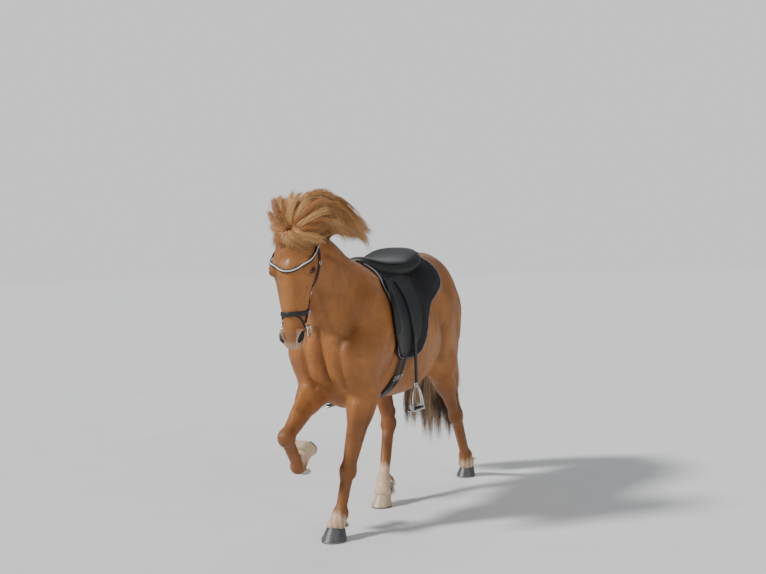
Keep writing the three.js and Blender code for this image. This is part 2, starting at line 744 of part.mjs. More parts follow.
function earShape(side, scale, lift, forward) {
  const rings = [[0, 19], [0.16, 25], [0.4, 27], [0.66, 20], [0.86, 10]].map(([t, r]) => (
    span(10, (i) => {
      const angle = (i / 10) * Math.PI * 2;
      const height = t * EAR.length * scale + lift;
      return [
        Math.cos(angle) * r * scale + side * EAR.bend * t * t,
        Math.sin(angle) * r * scale * 0.72 + forward,
        -height,
      ];
    })
  ));
  const tip = [side * EAR.bend, forward - 2, -EAR.length * scale - lift];
  const points = [[0, forward, -lift], ...rings.flat(), tip];
  const ear = ringMesh(points, 10, rings.length);
  ear.index.array.reverse();
  return solidOf(ear
    .rotateZ(side * -0.5)
    .rotateX(-EAR.back)
    .rotateY(side * -EAR.out)
    .translate(side * EAR.place[0], EAR.place[1], EAR.place[2])
    .applyMatrix4(headMatrix));
}

const skull = headShell(GAP * 2);
const earRoom = both((s) => earShape(s, 1.08, -6, 0));
const ears = both((s) => earShape(s, 1, 0, 0).subtract(earShape(s, 0.82, 20, 9)).subtract(skull));
addNode('ear_left', ears[0], finish.coat);
addNode('ear_right', ears[1], finish.coat);

// Straps along the surface of the head

const STRAP = 19;
const headAxis = [[0, -30, 70], [0, -24, 200], [0, 0, 470]];

// The way straight out of the surface at a point
function wayOut(point) {
  const here = neckField(...point.toArray());
  return v3([[1, 0, 0], [0, 1, 0], [0, 0, 1]].map((step) => (
    neckField(...plus(point.toArray(), step)) - here
  ))).normalize();
}

// Where a ray from inside the head leaves it
function leaves(centre, direction) {
  let near = 0;
  let far = 190;
  for (let k = 0; k < 24; k += 1) {
    const middle = (near + far) / 2;
    if (neckField(...centre.clone().addScaledVector(direction, middle).toArray()) < 0) near = middle;
    else far = middle;
  }
  const point = centre.clone().addScaledVector(direction, far);
  return { point, direction: wayOut(point) };
}

// A place [angle, down] lies round the head: angle 0 is the front, and 90 the left.
function roundHead([angle, down]) {
  const front = mix(headAxis[0], headAxis[2], Math.min(1, Math.max(0, (down - 70) / 400)))[1];
  const turn = THREE.MathUtils.degToRad(angle);
  return leaves(
    v3(onHead([0, front, down])),
    headLeft.clone().multiplyScalar(Math.sin(turn)).addScaledVector(headFront, Math.cos(turn)),
  );
}

// A place over the poll: angle 0 is the top, and 90 the left.
function overPoll(angle) {
  const turn = THREE.MathUtils.degToRad(angle);
  return leaves(
    v3(onHead([0, -64, 74])),
    headLeft.clone().multiplyScalar(Math.sin(turn)).addScaledVector(headDown, -Math.cos(turn)),
  );
}

function alongPath(path, count) {
  const curve = new THREE.CatmullRomCurve3(path.map(([angle, down]) => new THREE.Vector3(angle, down, 0)));
  return span(count, (i) => {
    const { x, y } = curve.getPoint(i / (count - 1));
    return roundHead([x, y]);
  });
}

function strapSolid(places, width, low = 4, high = 9) {
  const last = places.length - 1;
  const corners = places.flatMap(({ point, direction }, i) => {
    const before = places[Math.max(0, i - 1)].point;
    const along = places[Math.min(last, i + 1)].point.clone().sub(before).normalize();
    const out = direction.clone().addScaledVector(along, -direction.dot(along)).normalize();
    const across = along.clone().cross(out);
    return [[-1, high], [1, high], [1, low], [-1, low]].map(([side, lift]) => point.clone()
      .addScaledVector(across, side * width * 0.5)
      .addScaledVector(out, lift));
  });
  const ends = [places[0], places[last]].map(({ point, direction }) => (
    point.clone().addScaledVector(direction, (low + high) / 2).toArray()
  ));
  return solidOf(ringMesh([ends[0], ...corners, ends[1]], 4, places.length));
}

const headPiece = (grow) => strapSolid(span(10, (i) => overPoll(-102 + (i * 68) / 3)), STRAP + 5 + grow * 2, 3 - grow * 8, 8 + grow);

const CREST = [[-6, -800, 1456], [-4, -690, 1430], [-2, -590, 1398], [0, -480, 1352], [0, -330, 1284]];
const crest = new THREE.CatmullRomCurve3(CREST.map(v3));

// The front of the mane is blown up, back and to the left; the rest lies on the right of the neck.
const BLOWN = { out: [0.79, 0.61], reach: 312, lift: 185, width: 100, thick: 32, count: 11 };
const FALLEN = { drop: 210, back: 70, width: 94, thick: 22, count: 5 };

function blownLock(i) {
  const vary = seeded(101 + i * 17);
  const share = i / (BLOWN.count - 1);
  const root = crest.getPoint(0.24 + 0.27 * share).toArray();
  const level = [1, 0.3, 0.66][i % 3];
  const lift = BLOWN.lift * level * vary(0.9, 1.08) * (1 - 0.25 * share);
  const reach = BLOWN.reach * vary(0.8, 1) * (level > 0.9 ? 0.92 : 1);
  const turn = vary(-0.12, 0.12);
  const [x, y] = [BLOWN.out[0] - BLOWN.out[1] * turn, BLOWN.out[1] + BLOWN.out[0] * turn];
  const out = (r, z) => [root[0] + x * r, root[1] + y * r, root[2] + z];
  const tip = lift * vary(0.42, 0.6) - (1 - level) * 44;
  return lock({
    through: [plus(root, [0, 0, -16]), out(reach * 0.14, lift * 0.6), out(reach * 0.5, lift), out(reach * 0.82, lift * 0.86), out(reach, tip)],
    width: BLOWN.width * vary(0.85, 1.15),
    thick: BLOWN.thick,
    face: [-y, x, 0.35],
  });
}

// How far the right side of the neck stands out, at a place in the side view
function besideNeck(y, z) {
  let x = -10;
  while (neckField(x, y, z) < 0 && x > -260) x -= 2;
  return x;
}

function fallenLock(i) {
  const vary = seeded(907 + i * 29);
  const root = crest.getPoint(0.63 + (0.29 * i) / (FALLEN.count - 1)).toArray();
  const drop = FALLEN.drop * vary(0.75, 1);
  const lie = (share, off) => {
    const y = root[1] + FALLEN.back * share * vary(0.8, 1.2);
    const z = root[2] - drop * share;
    return [besideNeck(y, z) - off, y, z];
  };
  return lock({
    through: [plus(root, [2, 0, -14]), lie(0.1, 24), lie(0.45, 27), lie(0.75, 24), lie(1, 16)],
    width: FALLEN.width * vary(0.85, 1.15),
    thick: FALLEN.thick,
    face: [-1, 0, 0.4],
  });
}

const behindNeck = plus(NECK_CUT[0], v3(NECK_CUT[1]).normalize().multiplyScalar(GAP).toArray());
const withers = trunkShell(GAP * 2).intersect(halfSpace(behindNeck, back(NECK_CUT[1])));
const underCrest = plus(CREST_CUT[0], v3(CREST_CUT[1]).normalize().multiplyScalar(GAP / 2).toArray());
const neckSides = neckShell(GAP * 2).subtract(halfSpace(underCrest, CREST_CUT[1]));
const rooms = [...earRoom, headPiece(1), withers, neckSides, headRegion(GAP)];
const clearOf = (solid, spaces) => spaces.reduce((rest, space) => rest.subtract(space), solid);
const maneFront = joined(span(BLOWN.count, blownLock)).add(trim(crestBand, ...CREST_SPLIT));
const rearNeck = neckShell(GAP * 2).intersect(halfSpace(...CREST_SPLIT));
const maneRear = joined(span(FALLEN.count, fallenLock)).add(trim(crestBand, CREST_SPLIT[0], back(CREST_SPLIT[1])));
addNode('mane_front', clearOf(maneFront, [...rooms, rearNeck]), finish.mane);
addNode('mane_rear', trim(clearOf(maneRear, rooms), CREST_SPLIT[0], back(CREST_SPLIT[1])), finish.mane);

// The forelock stands up round a whorl below the poll, longest above it.
const FORELOCK = { whorl: [0, 26, 4], length: 196, side: 128, down: 62, width: 68, thick: 24, count: 11 };

function foreLock(i) {
  const vary = seeded(331 + i * 13);
  const angle = ((i + 0.5) / FORELOCK.count) * Math.PI * 2;
  const up = Math.cos(angle);
  const left = Math.sin(angle);
  const reach = (up > 0 ? FORELOCK.length : FORELOCK.down) * Math.abs(up) ** 1.5 + FORELOCK.side * Math.abs(left) ** 1.5;
  const length = reach * vary(0.86, 1);
  const [x, y, z] = FORELOCK.whorl;
  const at = (share, front, blow) => [x + left * length * share + blow, y + front, z - up * length * share];
  return lock({
    through: [at(-0.02, -30, 0), at(0.16, 22, 0), at(0.55, 26, 10), at(1, -2, 24)].map(onHead),
    width: FORELOCK.width * vary(0.85, 1.15),
    thick: FORELOCK.thick,
    face: headFront.toArray(),
    rings: 4,
  });
}

const forelock = clearOf(joined(span(FORELOCK.count, foreLock)), [earRoom[0], earRoom[1], headPiece(1)]);
addNode('head', head.add(forelock).intersect(headRegion(0)), finish.coat);

// The dock and the tail's core lie inside the locks of the tail, which swings to the right.
const TAIL = [
  [0, 640, 1196, 44, 40],
  [0, 700, 1180, 52, 46],
  [-6, 776, 1120, 66, 52],
  [-34, 830, 980, 84, 56],
  [-80, 856, 780, 118, 60],
  [-108, 852, 620, 152, 62],
  [-126, 848, 470, 178, 58],
  [-130, 852, 330, 180, 46],
  [-126, 858, 200, 150, 30],
];
const TAIL_LOCKS = { count: 11, width: 110, thick: 34 };
const tailLine = new THREE.CatmullRomCurve3(TAIL.map((row) => v3(row)));
const tailCore = TAIL.slice(0, 7);

function tailFrame(t) {
  const along = tailLine.getTangent(t);
  const across = new THREE.Vector3(1, 0, 0).addScaledVector(along, -along.x).normalize();
  return { along, across, normal: along.clone().cross(across) };
}

function tailSize(t) {
  const x = t * (TAIL.length - 1);
  const i = Math.min(TAIL.length - 2, Math.floor(x));
  return mix(TAIL[i], TAIL[i + 1], x - i).slice(3);
}

function tailLock(i) {
  const vary = seeded(577 + i * 23);
  const angle = i * 2.4;
  const first = 0.06 + 0.24 * ((i * 7) % TAIL_LOCKS.count) / TAIL_LOCKS.count;
  const last = vary(0.92, 1);
  const spread = vary(0.75, 0.95);
  const through = span(6, (k) => {
    const share = k / 5;
    const t = first + (last - first) * share;
    const { across, normal } = tailFrame(t);
    const [wide, deep] = tailSize(t);
    const off = 0.35 + (spread - 0.35) * share;
    return tailLine.getPointAt(t)
      .addScaledVector(across, Math.cos(angle) * wide * off)
      .addScaledVector(normal, Math.sin(angle) * deep * off + 5 * Math.sin(share * 6 + i))
      .toArray();
  });
  return lock({ through, width: TAIL_LOCKS.width, thick: TAIL_LOCKS.thick, face: [0, 1, 0.2] });
}

const corePoints = tailCore.flatMap(([x, y, z, wide, deep], i) => {
  const { across, normal } = tailFrame(i / (TAIL.length - 1));
  const slim = i < 3 ? 0.8 : 0.5;
  return span(10, (j) => v3([x, y, z])
    .addScaledVector(across, Math.cos((j / 10) * Math.PI * 2) * wide * slim)
    .addScaledVector(normal, Math.sin((j / 10) * Math.PI * 2) * deep * slim));
});
const coreTip = mix(TAIL[6], TAIL[7], 0.6).slice(0, 3);
const core = solidOf(ringMesh([[0, 610, 1196], ...corePoints, coreTip], 10, tailCore.length));
const tail = joined([core, ...span(TAIL_LOCKS.count, tailLock)]);
addNode('tail', trim(tail, TAIL_CUT[0], back(TAIL_CUT[1]), 0).subtract(trunkShell(GAP)), finish.mane);

// Saddle, pad, girth and stirrups

const PAD_OUTLINE = [
  [-215, 1420], [-238, 1180], [-268, 1060], [-262, 900], [-236, 838], [-60, 812],
  [40, 850], [92, 980], [180, 1050], [262, 1100], [276, 1420],
];
const FLAP_OUTLINE = [
  [-172, 1250], [-226, 1196], [-290, 1090], [-302, 1000], [-284, 920], [-244, 858], [-180, 832],
  [-92, 838], [-20, 880], [20, 960], [46, 1060], [96, 1170], [60, 1250],
];
const BLOCK_OUTLINE = [[-232, 1180], [-280, 1090], [-290, 1010], [-270, 940], [-240, 940], [-236, 1010], [-214, 1090], [-190, 1180]];
const PAD_THICK = 13;
const FLAP_THICK = 7;
const SHELL_GAP = 0.5;

const bare = trunkShell(SHELL_GAP);
const overPad = trunkShell(PAD_THICK);
const underFlap = trunkShell(PAD_THICK + SHELL_GAP);
const overFlap = trunkShell(PAD_THICK + SHELL_GAP + FLAP_THICK);
const underLeather = trunkShell(PAD_THICK + SHELL_GAP * 2 + FLAP_THICK);
const overLeather = trunkShell(PAD_THICK + SHELL_GAP * 2 + FLAP_THICK + 6);
const overBlock = trunkShell(38);

addNode('saddle_pad', overPad.subtract(bare).intersect(sideSlab(PAD_OUTLINE, -400, 400)), finish.cloth);

function crossRing(y, top, half, drop, count) {
  return span(count, (i) => {
    const angle = (i / count) * Math.PI * 2;
    const up = Math.cos(angle);
    const dip = up > 0 ? 1 - 0.12 * Math.cos(angle * 2) : 1;
    return [Math.sin(angle) * half, y, top - drop / 2 + (up * drop * dip) / 2];
  });
}

const SEAT = [
  [-226, 1308, 62, 90], [-206, 1332, 80, 120], [-150, 1334, 96, 130], [-60, 1322, 122, 130],
  [40, 1322, 158, 130], [120, 1342, 176, 140], [186, 1380, 170, 160], [222, 1374, 138, 150], [242, 1342, 92, 100],
];
const seatPoints = [
  [0, -236, 1280],
  ...SEAT.flatMap(([y, top, half, drop]) => crossRing(y, top, half, drop, 16)),
  [0, 252, 1310],
];
const seatLoft = solidOf(ringMesh(seatPoints, 16, SEAT.length));
const flapBands = both((s) => {
  const flap = overFlap.intersect(sideSlab(FLAP_OUTLINE, s > 0 ? 20 : -400, s > 0 ? 400 : -20));
  const block = overBlock.intersect(sideSlab(BLOCK_OUTLINE, s > 0 ? 20 : -400, s > 0 ? 400 : -20));
  return flap.add(block).subtract(underFlap);
});
const seat = seatLoft.subtract(underFlap);
addNode('saddle_seat', seat, finish.leather);

const around = seatLoft.translate(0, 0, -GAP * 2).add(seatLoft);
const flaps = flapBands.map((flap) => flap.subtract(around));
addNode('saddle_flap_left', flaps[0], finish.leather);
addNode('saddle_flap_right', flaps[1], finish.leather);

// The girth runs under the belly and its billets go up under the flaps.
const GIRTH_Y = -165;
const GIRTH_WIDTH = 92;
const girthBelow = [
  [GIRTH_Y - GIRTH_WIDTH / 2, 300], [GIRTH_Y + GIRTH_WIDTH / 2, 300],
  [GIRTH_Y + GIRTH_WIDTH / 2, 716], [GIRTH_Y - GIRTH_WIDTH / 2, 716],
];
const billet = (y) => [[y - 13, 690], [y + 13, 690], [y + 13, 806], [y - 13, 806]];
const girthShell = trunkShell(15).subtract(bare);
const girthSlabs = sideSlab(girthBelow, -400, 400)
  .add(sideSlab(billet(GIRTH_Y - 26), -400, 400))
  .add(sideSlab(billet(GIRTH_Y + 26), -400, 400));
addNode('girth', girthShell.intersect(girthSlabs), finish.leather);

// Stirrups hang plumb from the widest part of the flaps.
const STIRRUP_Y = -92;
const LEATHER_WIDTH = 26;
const HANG_FROM = 940;
const IRON_TOP = 668;
const IRON_HEIGHT = 118;
const IRON_HALF = 58;
const leatherBand = [
  [STIRRUP_Y - LEATHER_WIDTH / 2, HANG_FROM], [STIRRUP_Y + LEATHER_WIDTH / 2, HANG_FROM],
  [STIRRUP_Y + LEATHER_WIDTH / 2, 1200], [STIRRUP_Y - LEATHER_WIDTH / 2, 1200],
];

function sideOf(solid, y, z) {
  const probe = solid.intersect(boxBetween([0, y - 1, z - 1], [500, y + 1, z + 1]));
  return probe.boundingBox().max[0];
}

const hangX = sideOf(overLeather, STIRRUP_Y, HANG_FROM + 4);

function leatherOf(side) {
  const low = boxBetween(
    [hangX - 6, STIRRUP_Y - LEATHER_WIDTH / 2, IRON_TOP - 10],
    [hangX, STIRRUP_Y + LEATHER_WIDTH / 2, HANG_FROM + 12],
  );
  const right = side > 0 ? low : low.mirror([1, 0, 0]);
  return overLeather.subtract(underLeather)
    .intersect(sideSlab(leatherBand, side > 0 ? 20 : -400, side > 0 ? 400 : -20))
    .add(right.subtract(underLeather))
    .subtract(around);
}

function ironOf(side) {
  const bow = new THREE.CatmullRomCurve3([
    new THREE.Vector3(0, -IRON_HALF, -IRON_HEIGHT),
    new THREE.Vector3(0, -IRON_HALF + 4, -IRON_HEIGHT * 0.6),
    new THREE.Vector3(0, -IRON_HALF * 0.62, -24),
    new THREE.Vector3(0, 0, 0),
    new THREE.Vector3(0, IRON_HALF * 0.62, -24),
    new THREE.Vector3(0, IRON_HALF - 4, -IRON_HEIGHT * 0.6),
    new THREE.Vector3(0, IRON_HALF, -IRON_HEIGHT),
  ]);
  const arch = tubeSolid(bow, 5.5, 14, 6);
  const tread = boxBetween([-21, -IRON_HALF - 6, -IRON_HEIGHT - 9], [21, IRON_HALF + 6, -IRON_HEIGHT + 1]);
  return arch.add(tread).translate(side * (hangX - 3), STIRRUP_Y, IRON_TOP);
}

function tubeSolid(curve, radius, segments, sides) {
  const points = [curve.getPoint(0)];
  for (let i = 0; i <= segments; i += 1) {
    const t = i / segments;
    const along = curve.getTangent(t);
    const u = new THREE.Vector3(1, 0, 0);
    const w = along.clone().cross(u).normalize();
    for (let j = 0; j < sides; j += 1) {
      const angle = (j / sides) * Math.PI * 2;
      points.push(curve.getPoint(t)
        .addScaledVector(u, Math.cos(angle) * radius)
        .addScaledVector(w, Math.sin(angle) * radius));
    }
  }
  points.push(curve.getPoint(1));
  return solidOf(ringMesh(points, sides, segments + 1));
}

both((s) => {
  const iron = ironOf(s);
  const grown = iron.translate(0.4, 0, 0).add(iron.translate(-0.4, 0, 0)).add(iron.translate(0, 0, 0.4));
  addNode(s > 0 ? 'stirrup_leather_left' : 'stirrup_leather_right', leatherOf(s).subtract(grown), finish.leather);
  addNode(s > 0 ? 'stirrup_iron_left' : 'stirrup_iron_right', iron, finish.steel);
  return s;
});

// Bridle and bit

function bitSolid(grow) {
  const bar = new THREE.CylinderGeometry(6 + grow, 6 + grow, 2 * BIT.out + 14, 8);
  bar.rotateZ(Math.PI / 2);
  bar.translate(0, BIT.front, BIT.down);
  let bit = inHead(bar);
  both((s) => {
    const ring = new THREE.TorusGeometry(BIT.radius, 4 + grow, 5, 12);
    ring.rotateY(Math.PI / 2);
    ring.translate(s * BIT.out, BIT.front - BIT.radius * 0.8, BIT.down + BIT.radius * 0.5);
    bit = bit.add(inHead(ring));
    return s;
  });
  return bit;
}

const cheekPath = [[118, 78], [114, 150], [112, 240], [110, 330], [106, 430]];
const browPath = [[116, 84], [80, 108], [46, 138], [20, 165], [0, 175]];
const flashPath = [[0, 388], [38, 404], [76, 432], [112, 462], [150, 478], [180, 482]];
const bothWays = (path) => [...path, ...path.slice(0, -1).reverse().map(([angle, down]) => [-angle, down])];
const flipped = (path) => path.map(([angle, down]) => [-angle, down]);
const nosePath = span(19, (i) => [i * 20, 384 + 8 * Math.cos((i * 20 * Math.PI) / 180)]);
const strapping = [
  strapSolid(alongPath(cheekPath, 6), STRAP),
  strapSolid(alongPath(flipped(cheekPath), 6), STRAP),
  strapSolid(alongPath(bothWays(browPath), 11), STRAP),
  strapSolid(alongPath(nosePath, 13), STRAP + 3),
  strapSolid(alongPath(flashPath, 5), STRAP - 5),
  strapSolid(alongPath(flipped(flashPath), 5), STRAP - 5),
  headPiece(0),
];
let bridle = joined(strapping).subtract(skull);
earRoom.forEach((room) => { bridle = bridle.subtract(room); });
addNode('bridle', bridle.subtract(bitSolid(0.5)), finish.leather);
addNode('bit', bitSolid(0), finish.steel);

// The origin goes under the middle of the whole model.
const bounds = new THREE.Box3().setFromObject(model);
const middle = bounds.getCenter(new THREE.Vector3());
model.children.forEach((mesh) => mesh.geometry.translate(-middle.x, -middle.y, -bounds.min.z));

export default model;
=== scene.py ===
import math

import bpy
import numpy as np
from mathutils import Matrix, Vector


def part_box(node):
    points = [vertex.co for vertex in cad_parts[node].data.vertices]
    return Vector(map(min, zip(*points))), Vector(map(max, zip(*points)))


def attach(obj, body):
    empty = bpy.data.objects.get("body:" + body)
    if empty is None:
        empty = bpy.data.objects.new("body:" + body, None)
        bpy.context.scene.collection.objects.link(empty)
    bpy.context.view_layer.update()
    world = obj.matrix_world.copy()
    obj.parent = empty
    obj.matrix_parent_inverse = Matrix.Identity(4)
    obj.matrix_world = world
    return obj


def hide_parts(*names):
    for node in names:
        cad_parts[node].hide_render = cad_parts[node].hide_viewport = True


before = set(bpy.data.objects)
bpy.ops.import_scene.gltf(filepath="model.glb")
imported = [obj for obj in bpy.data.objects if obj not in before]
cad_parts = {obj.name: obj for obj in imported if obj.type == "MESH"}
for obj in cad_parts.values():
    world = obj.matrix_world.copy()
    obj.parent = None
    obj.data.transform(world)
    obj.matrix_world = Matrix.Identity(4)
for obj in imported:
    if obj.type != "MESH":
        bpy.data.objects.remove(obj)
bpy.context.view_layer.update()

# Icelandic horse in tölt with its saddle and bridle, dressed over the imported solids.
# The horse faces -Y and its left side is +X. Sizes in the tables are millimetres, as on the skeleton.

bl_info = {
    "name": "Icelandic horse",
    "version": (1, 0, 0),
    "blender": (4, 5, 0),
    "location": "View3D > Sidebar > Horse",
    "description": "Skin, hair, hooves and tack of a life-size Icelandic horse in mid-stride",
    "category": "Add Mesh",
}

# Middle and toe of the left fore shoe on the skeleton, in metres. They give the skeleton's zero in the frame.
SHOE_MIDDLE, SHOE_TOE = 0.061, -0.709
SHOE_LOW, SHOE_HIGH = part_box("foreleg_left_shoe")
SHIFT = np.array([(SHOE_LOW[0] + SHOE_HIGH[0]) / 2 - SHOE_MIDDLE, SHOE_LOW[1] - SHOE_TOE, 0.0])


# Skeleton, as the joints lie in mid-stride

POLL = (-8, -792, 1464)
NOSE = (10, -850, 957)
NECK_BASE = (0, -335, 1085)
NECK_MIDDLE = (0, -568, 1268)
CHEST = (0, -330, 925)
LOIN = (0, 420, 1030)
TAIL_ROOT = (0, 690, 1182)
HEAD_TURN = 0.22
HEAD_SCALE = 0.97
CREST = ((-6, -800, 1456), (-4, -690, 1430), (-2, -590, 1398), (0, -480, 1352), (0, -330, 1284))
# Middle of the tail with its half width and half depth
TAIL = (
    (0, 640, 1196, 44, 40), (0, 700, 1180, 52, 46), (-6, 776, 1120, 66, 52), (-34, 830, 980, 84, 56),
    (-80, 856, 780, 118, 60), (-108, 852, 620, 152, 62), (-126, 848, 470, 178, 58),
    (-130, 852, 330, 180, 46), (-126, 858, 200, 150, 30),
)
SIDES = ((1, "left"), (-1, "right"))
EYE_PLACE = (88, 22, 188)
EYE_RADIUS = 21
NOSTRIL_PLACE = (50, 41, 497)

LEGS = {
    "fore_left": dict(side=1, shoulder=(138, -480, 860), elbow=(120, -408, 668), joint=(78, -518, 308),
                      fetlock=(62, -578, 112), coronet=(61, -622, 72), sole=(61, -645, 0)),
    "fore_right": dict(side=-1, shoulder=(-124, -498, 880), elbow=(-130, -448, 690), joint=(-104, -768, 504),
                       fetlock=(-130, -634, 342), coronet=(-131, -594, 386), sole=(-133, -552, 426)),
    "hind_left": dict(side=1, hip=(112, 430, 1040), stifle=(152, 440, 706), joint=(128, 662, 392),
                      fetlock=(110, 826, 126), coronet=(106, 842, 76), sole=(104, 838, 0)),
    "hind_right": dict(side=-1, hip=(-112, 430, 1040), stifle=(-150, 232, 770), joint=(-84, 236, 406),
                       fetlock=(-42, 76, 126), coronet=(-33, 40, 76), sole=(-30, 18, 0)),
}


# Small geometry helpers

def vec(*values):
    return np.array(values, dtype=float)


def add(a, b):
    return tuple(x + y for x, y in zip(a, b))


def mix(a, b, t):
    return tuple(x + (y - x) * t for x, y in zip(a, b))


def unit(v):
    v = np.asarray(v, dtype=float)
    return v / np.maximum(np.linalg.norm(v, axis=-1, keepdims=True), 1e-12)


def smooth_step(low, high, value):
    t = np.clip((value - low) / (high - low), 0.0, 1.0)
    return t * t * (3 - 2 * t)


def through(points, t):
    """Places at t, from 0 to 1, on a smooth curve through the points."""
    p = np.asarray(points, dtype=float)
    k = len(p) - 1
    x = np.clip(np.asarray(t, dtype=float), 0, 1) * k
    i = np.minimum(x.astype(int), k - 1)
    f = (x - i)[..., None]
    p0, p1, p2, p3 = p[np.maximum(i - 1, 0)], p[i], p[i + 1], p[np.minimum(i + 2, k)]
    return 0.5 * (2 * p1 + (p2 - p0) * f + (2 * p0 - 5 * p1 + 4 * p2 - p3) * f ** 2
                  + (3 * p1 - p0 - 3 * p2 + p3) * f ** 3)


HEAD_DOWN = unit(vec(*NOSE) - vec(*POLL))
_ahead = vec(math.sin(HEAD_TURN), -math.cos(HEAD_TURN), 0)
HEAD_FRONT = unit(_ahead - HEAD_DOWN * _ahead.dot(HEAD_DOWN))
HEAD_LEFT = np.cross(HEAD_FRONT, HEAD_DOWN)
HEAD_AXES = np.array([HEAD_LEFT, HEAD_FRONT, HEAD_DOWN])


def on_head(place):
    """A place [left, front, down] in the head's own frame, as skeleton coordinates."""
    return vec(*POLL) + (np.asarray(place, dtype=float) * HEAD_SCALE) @ HEAD_AXES


def in_head(points):
    return (points - vec(*POLL)) @ HEAD_AXES.T / HEAD_SCALE


def head_box(q, half, deep, top, bottom):
    """Which places of the head's own frame lie in a box round the face."""
    return (q[:, 2] > top) & (q[:, 2] < bottom) & (np.abs(q[:, 0]) < half) & (np.abs(q[:, 1]) < deep)


def eye_centre(side):
    return EYE_PLACE * vec(side, 1, 1)


# Field of muscles: the same balls and tapered cones as in the solids, blended one into the next

def ball(centre, radii, blend=40):
    c, r = vec(*centre), vec(*radii)

    def distance(p):
        q = (p - c) / r
        k0 = np.linalg.norm(q, axis=1)
        k1 = np.linalg.norm(q / r, axis=1)
        return np.where(k1 < 1e-9, -r.min(), k0 * (k0 - 1) / np.maximum(k1, 1e-9))
    return dict(distance=distance, blend=blend, ends=[(c, r)])


def cone(start, end, r_start, r_end, blend=30, flat=1.0):
    a, d = vec(*start), vec(*end) - vec(*start)
    length2 = d.dot(d)

    def distance(p):
        q = p - a
        t = np.clip(q @ d / length2, 0, 1)
        o = q - t[:, None] * d
        plain = np.linalg.norm(o, axis=1)
        wide = np.sqrt((o[:, 0] / flat) ** 2 + o[:, 1] ** 2 + o[:, 2] ** 2)
        near = wide < 1e-9
        wide = np.where(near, 1, wide)
        return np.where(near, -r_start, (wide - (r_start + (r_end - r_start) * t)) * plain / wide)
    steps = [(a + d * t, (r_start + (r_end - r_start) * t) * vec(flat, 1, 1)) for t in np.linspace(0, 1, 7)]
    return dict(distance=distance, blend=blend, ends=steps)


def both(make):
    return [make(1), make(-1)]


def blended(a, b, reach):
    """Smooth union of two distances, rounded where they differ by less than reach."""
    h = np.maximum(reach - np.abs(a - b), 0) / reach
    return np.minimum(a, b) - h * h * reach / 4


def field_of(parts):
    def value(p):
        total = parts[0]["distance"](p)
        for part in parts[1:]:
            total = blended(total, part["distance"](p), part["blend"])
        return total
    return value


TORSO_PARTS = [
    ball((0, 10, 925), (228, 545, 335)),
    ball((0, 160, 890), (230, 370, 290), 60),
    ball((0, -300, 905), (196, 250, 300), 80),
    cone((0, -470, 900), (0, -380, 690), 110, 92, 80),
    cone((0, -300, 1205), (0, -20, 1188), 66, 74, 90),
    cone((0, 0, 1185), (0, 300, 1212), 80, 98, 90),
    *both(lambda s: ball((s * 70, 356, 1158), (132, 240, 178), 60)),
    *both(lambda s: ball((s * 96, 490, 1020), (116, 208, 246), 60)),
    *both(lambda s: cone((s * 68, 592, 1100), (s * 96, 574, 880), 90, 86, 60)),
    *both(lambda s: ball((s * 168, 250, 1178), (54, 84, 62), 80)),
    cone((0, 545, 1232), TAIL_ROOT, 62, 40, 50),
    *both(lambda s: cone((s * 62, -250, 1170), (s * 128, -470, 880), 62, 96, 70)),
    *both(lambda s: ball((s * 138, -300, 960), (84, 120, 190), 60)),
    *both(lambda s: ball((s * 84, -490, 850), (88, 88, 130), 60)),
]

NECK_PARTS = [
    cone(NECK_BASE, NECK_MIDDLE, 205, 140, 90, 0.62),
    cone(NECK_MIDDLE, (-4, -700, 1376), 140, 106, 60, 0.62),
    cone((0, -300, 1238), (0, -560, 1362), 56, 48, 70, 0.8),
    cone((0, -560, 1362), (-6, -776, 1436), 48, 44, 50, 0.8),
    cone((0, -500, 960), (-2, -650, 1180), 92, 74, 70, 0.8),
]


def hock_point(leg):
    up = unit(vec(*leg["joint"]) - vec(*leg["fetlock"]))
    return (up[0] * 54, up[1] * 54 + 34, up[2] * 54 + 8)


def leg_parts(leg):
    joint, fetlock, coronet = leg["joint"], leg["fetlock"], leg["coronet"]
    if "elbow" in leg:
        belly = mix(leg["elbow"], joint, 0.22)
        upper = [
            cone(leg["shoulder"], leg["elbow"], 96, 74, 60),
            ball(add(leg["elbow"], (0, 40, 12)), (52, 62, 62), 40),
            cone(leg["elbow"], belly, 66, 66, 50, 0.86),
            cone(belly, joint, 66, 36, 40, 0.86),
            ball(joint, (41, 42, 46), 24),
            cone(joint, fetlock, 35, 31, 22, 0.88),
            ball(fetlock, (35, 37, 36), 24),
        ]
    else:
        calf = mix(leg["stifle"], joint, 0.25)
        point = add(joint, hock_point(leg))
        upper = [
            cone(leg["hip"], leg["stifle"], 140, 86, 70, 0.8),
            ball(leg["stifle"], (70, 84, 88), 50),
            cone(add(leg["hip"], (0, 150, -40)), mix(leg["stifle"], joint, 0.35), 110, 62, 60, 0.8),
            cone(leg["stifle"], calf, 84, 78, 50, 0.74),
            cone(calf, joint, 78, 38, 40, 0.74),
            cone(mix(leg["stifle"], point, 0.5), point, 34, 20, 30, 0.8),
            ball(joint, (38, 46, 48), 24),
            cone(joint, point, 32, 21, 20, 0.8),
            cone(joint, fetlock, 38, 32, 26, 0.9),
            ball(fetlock, (36, 38, 37), 24),
        ]
    return upper + [cone(fetlock, coronet, 31, 34, 24), ball(coronet, (45, 45, 30), 26)]


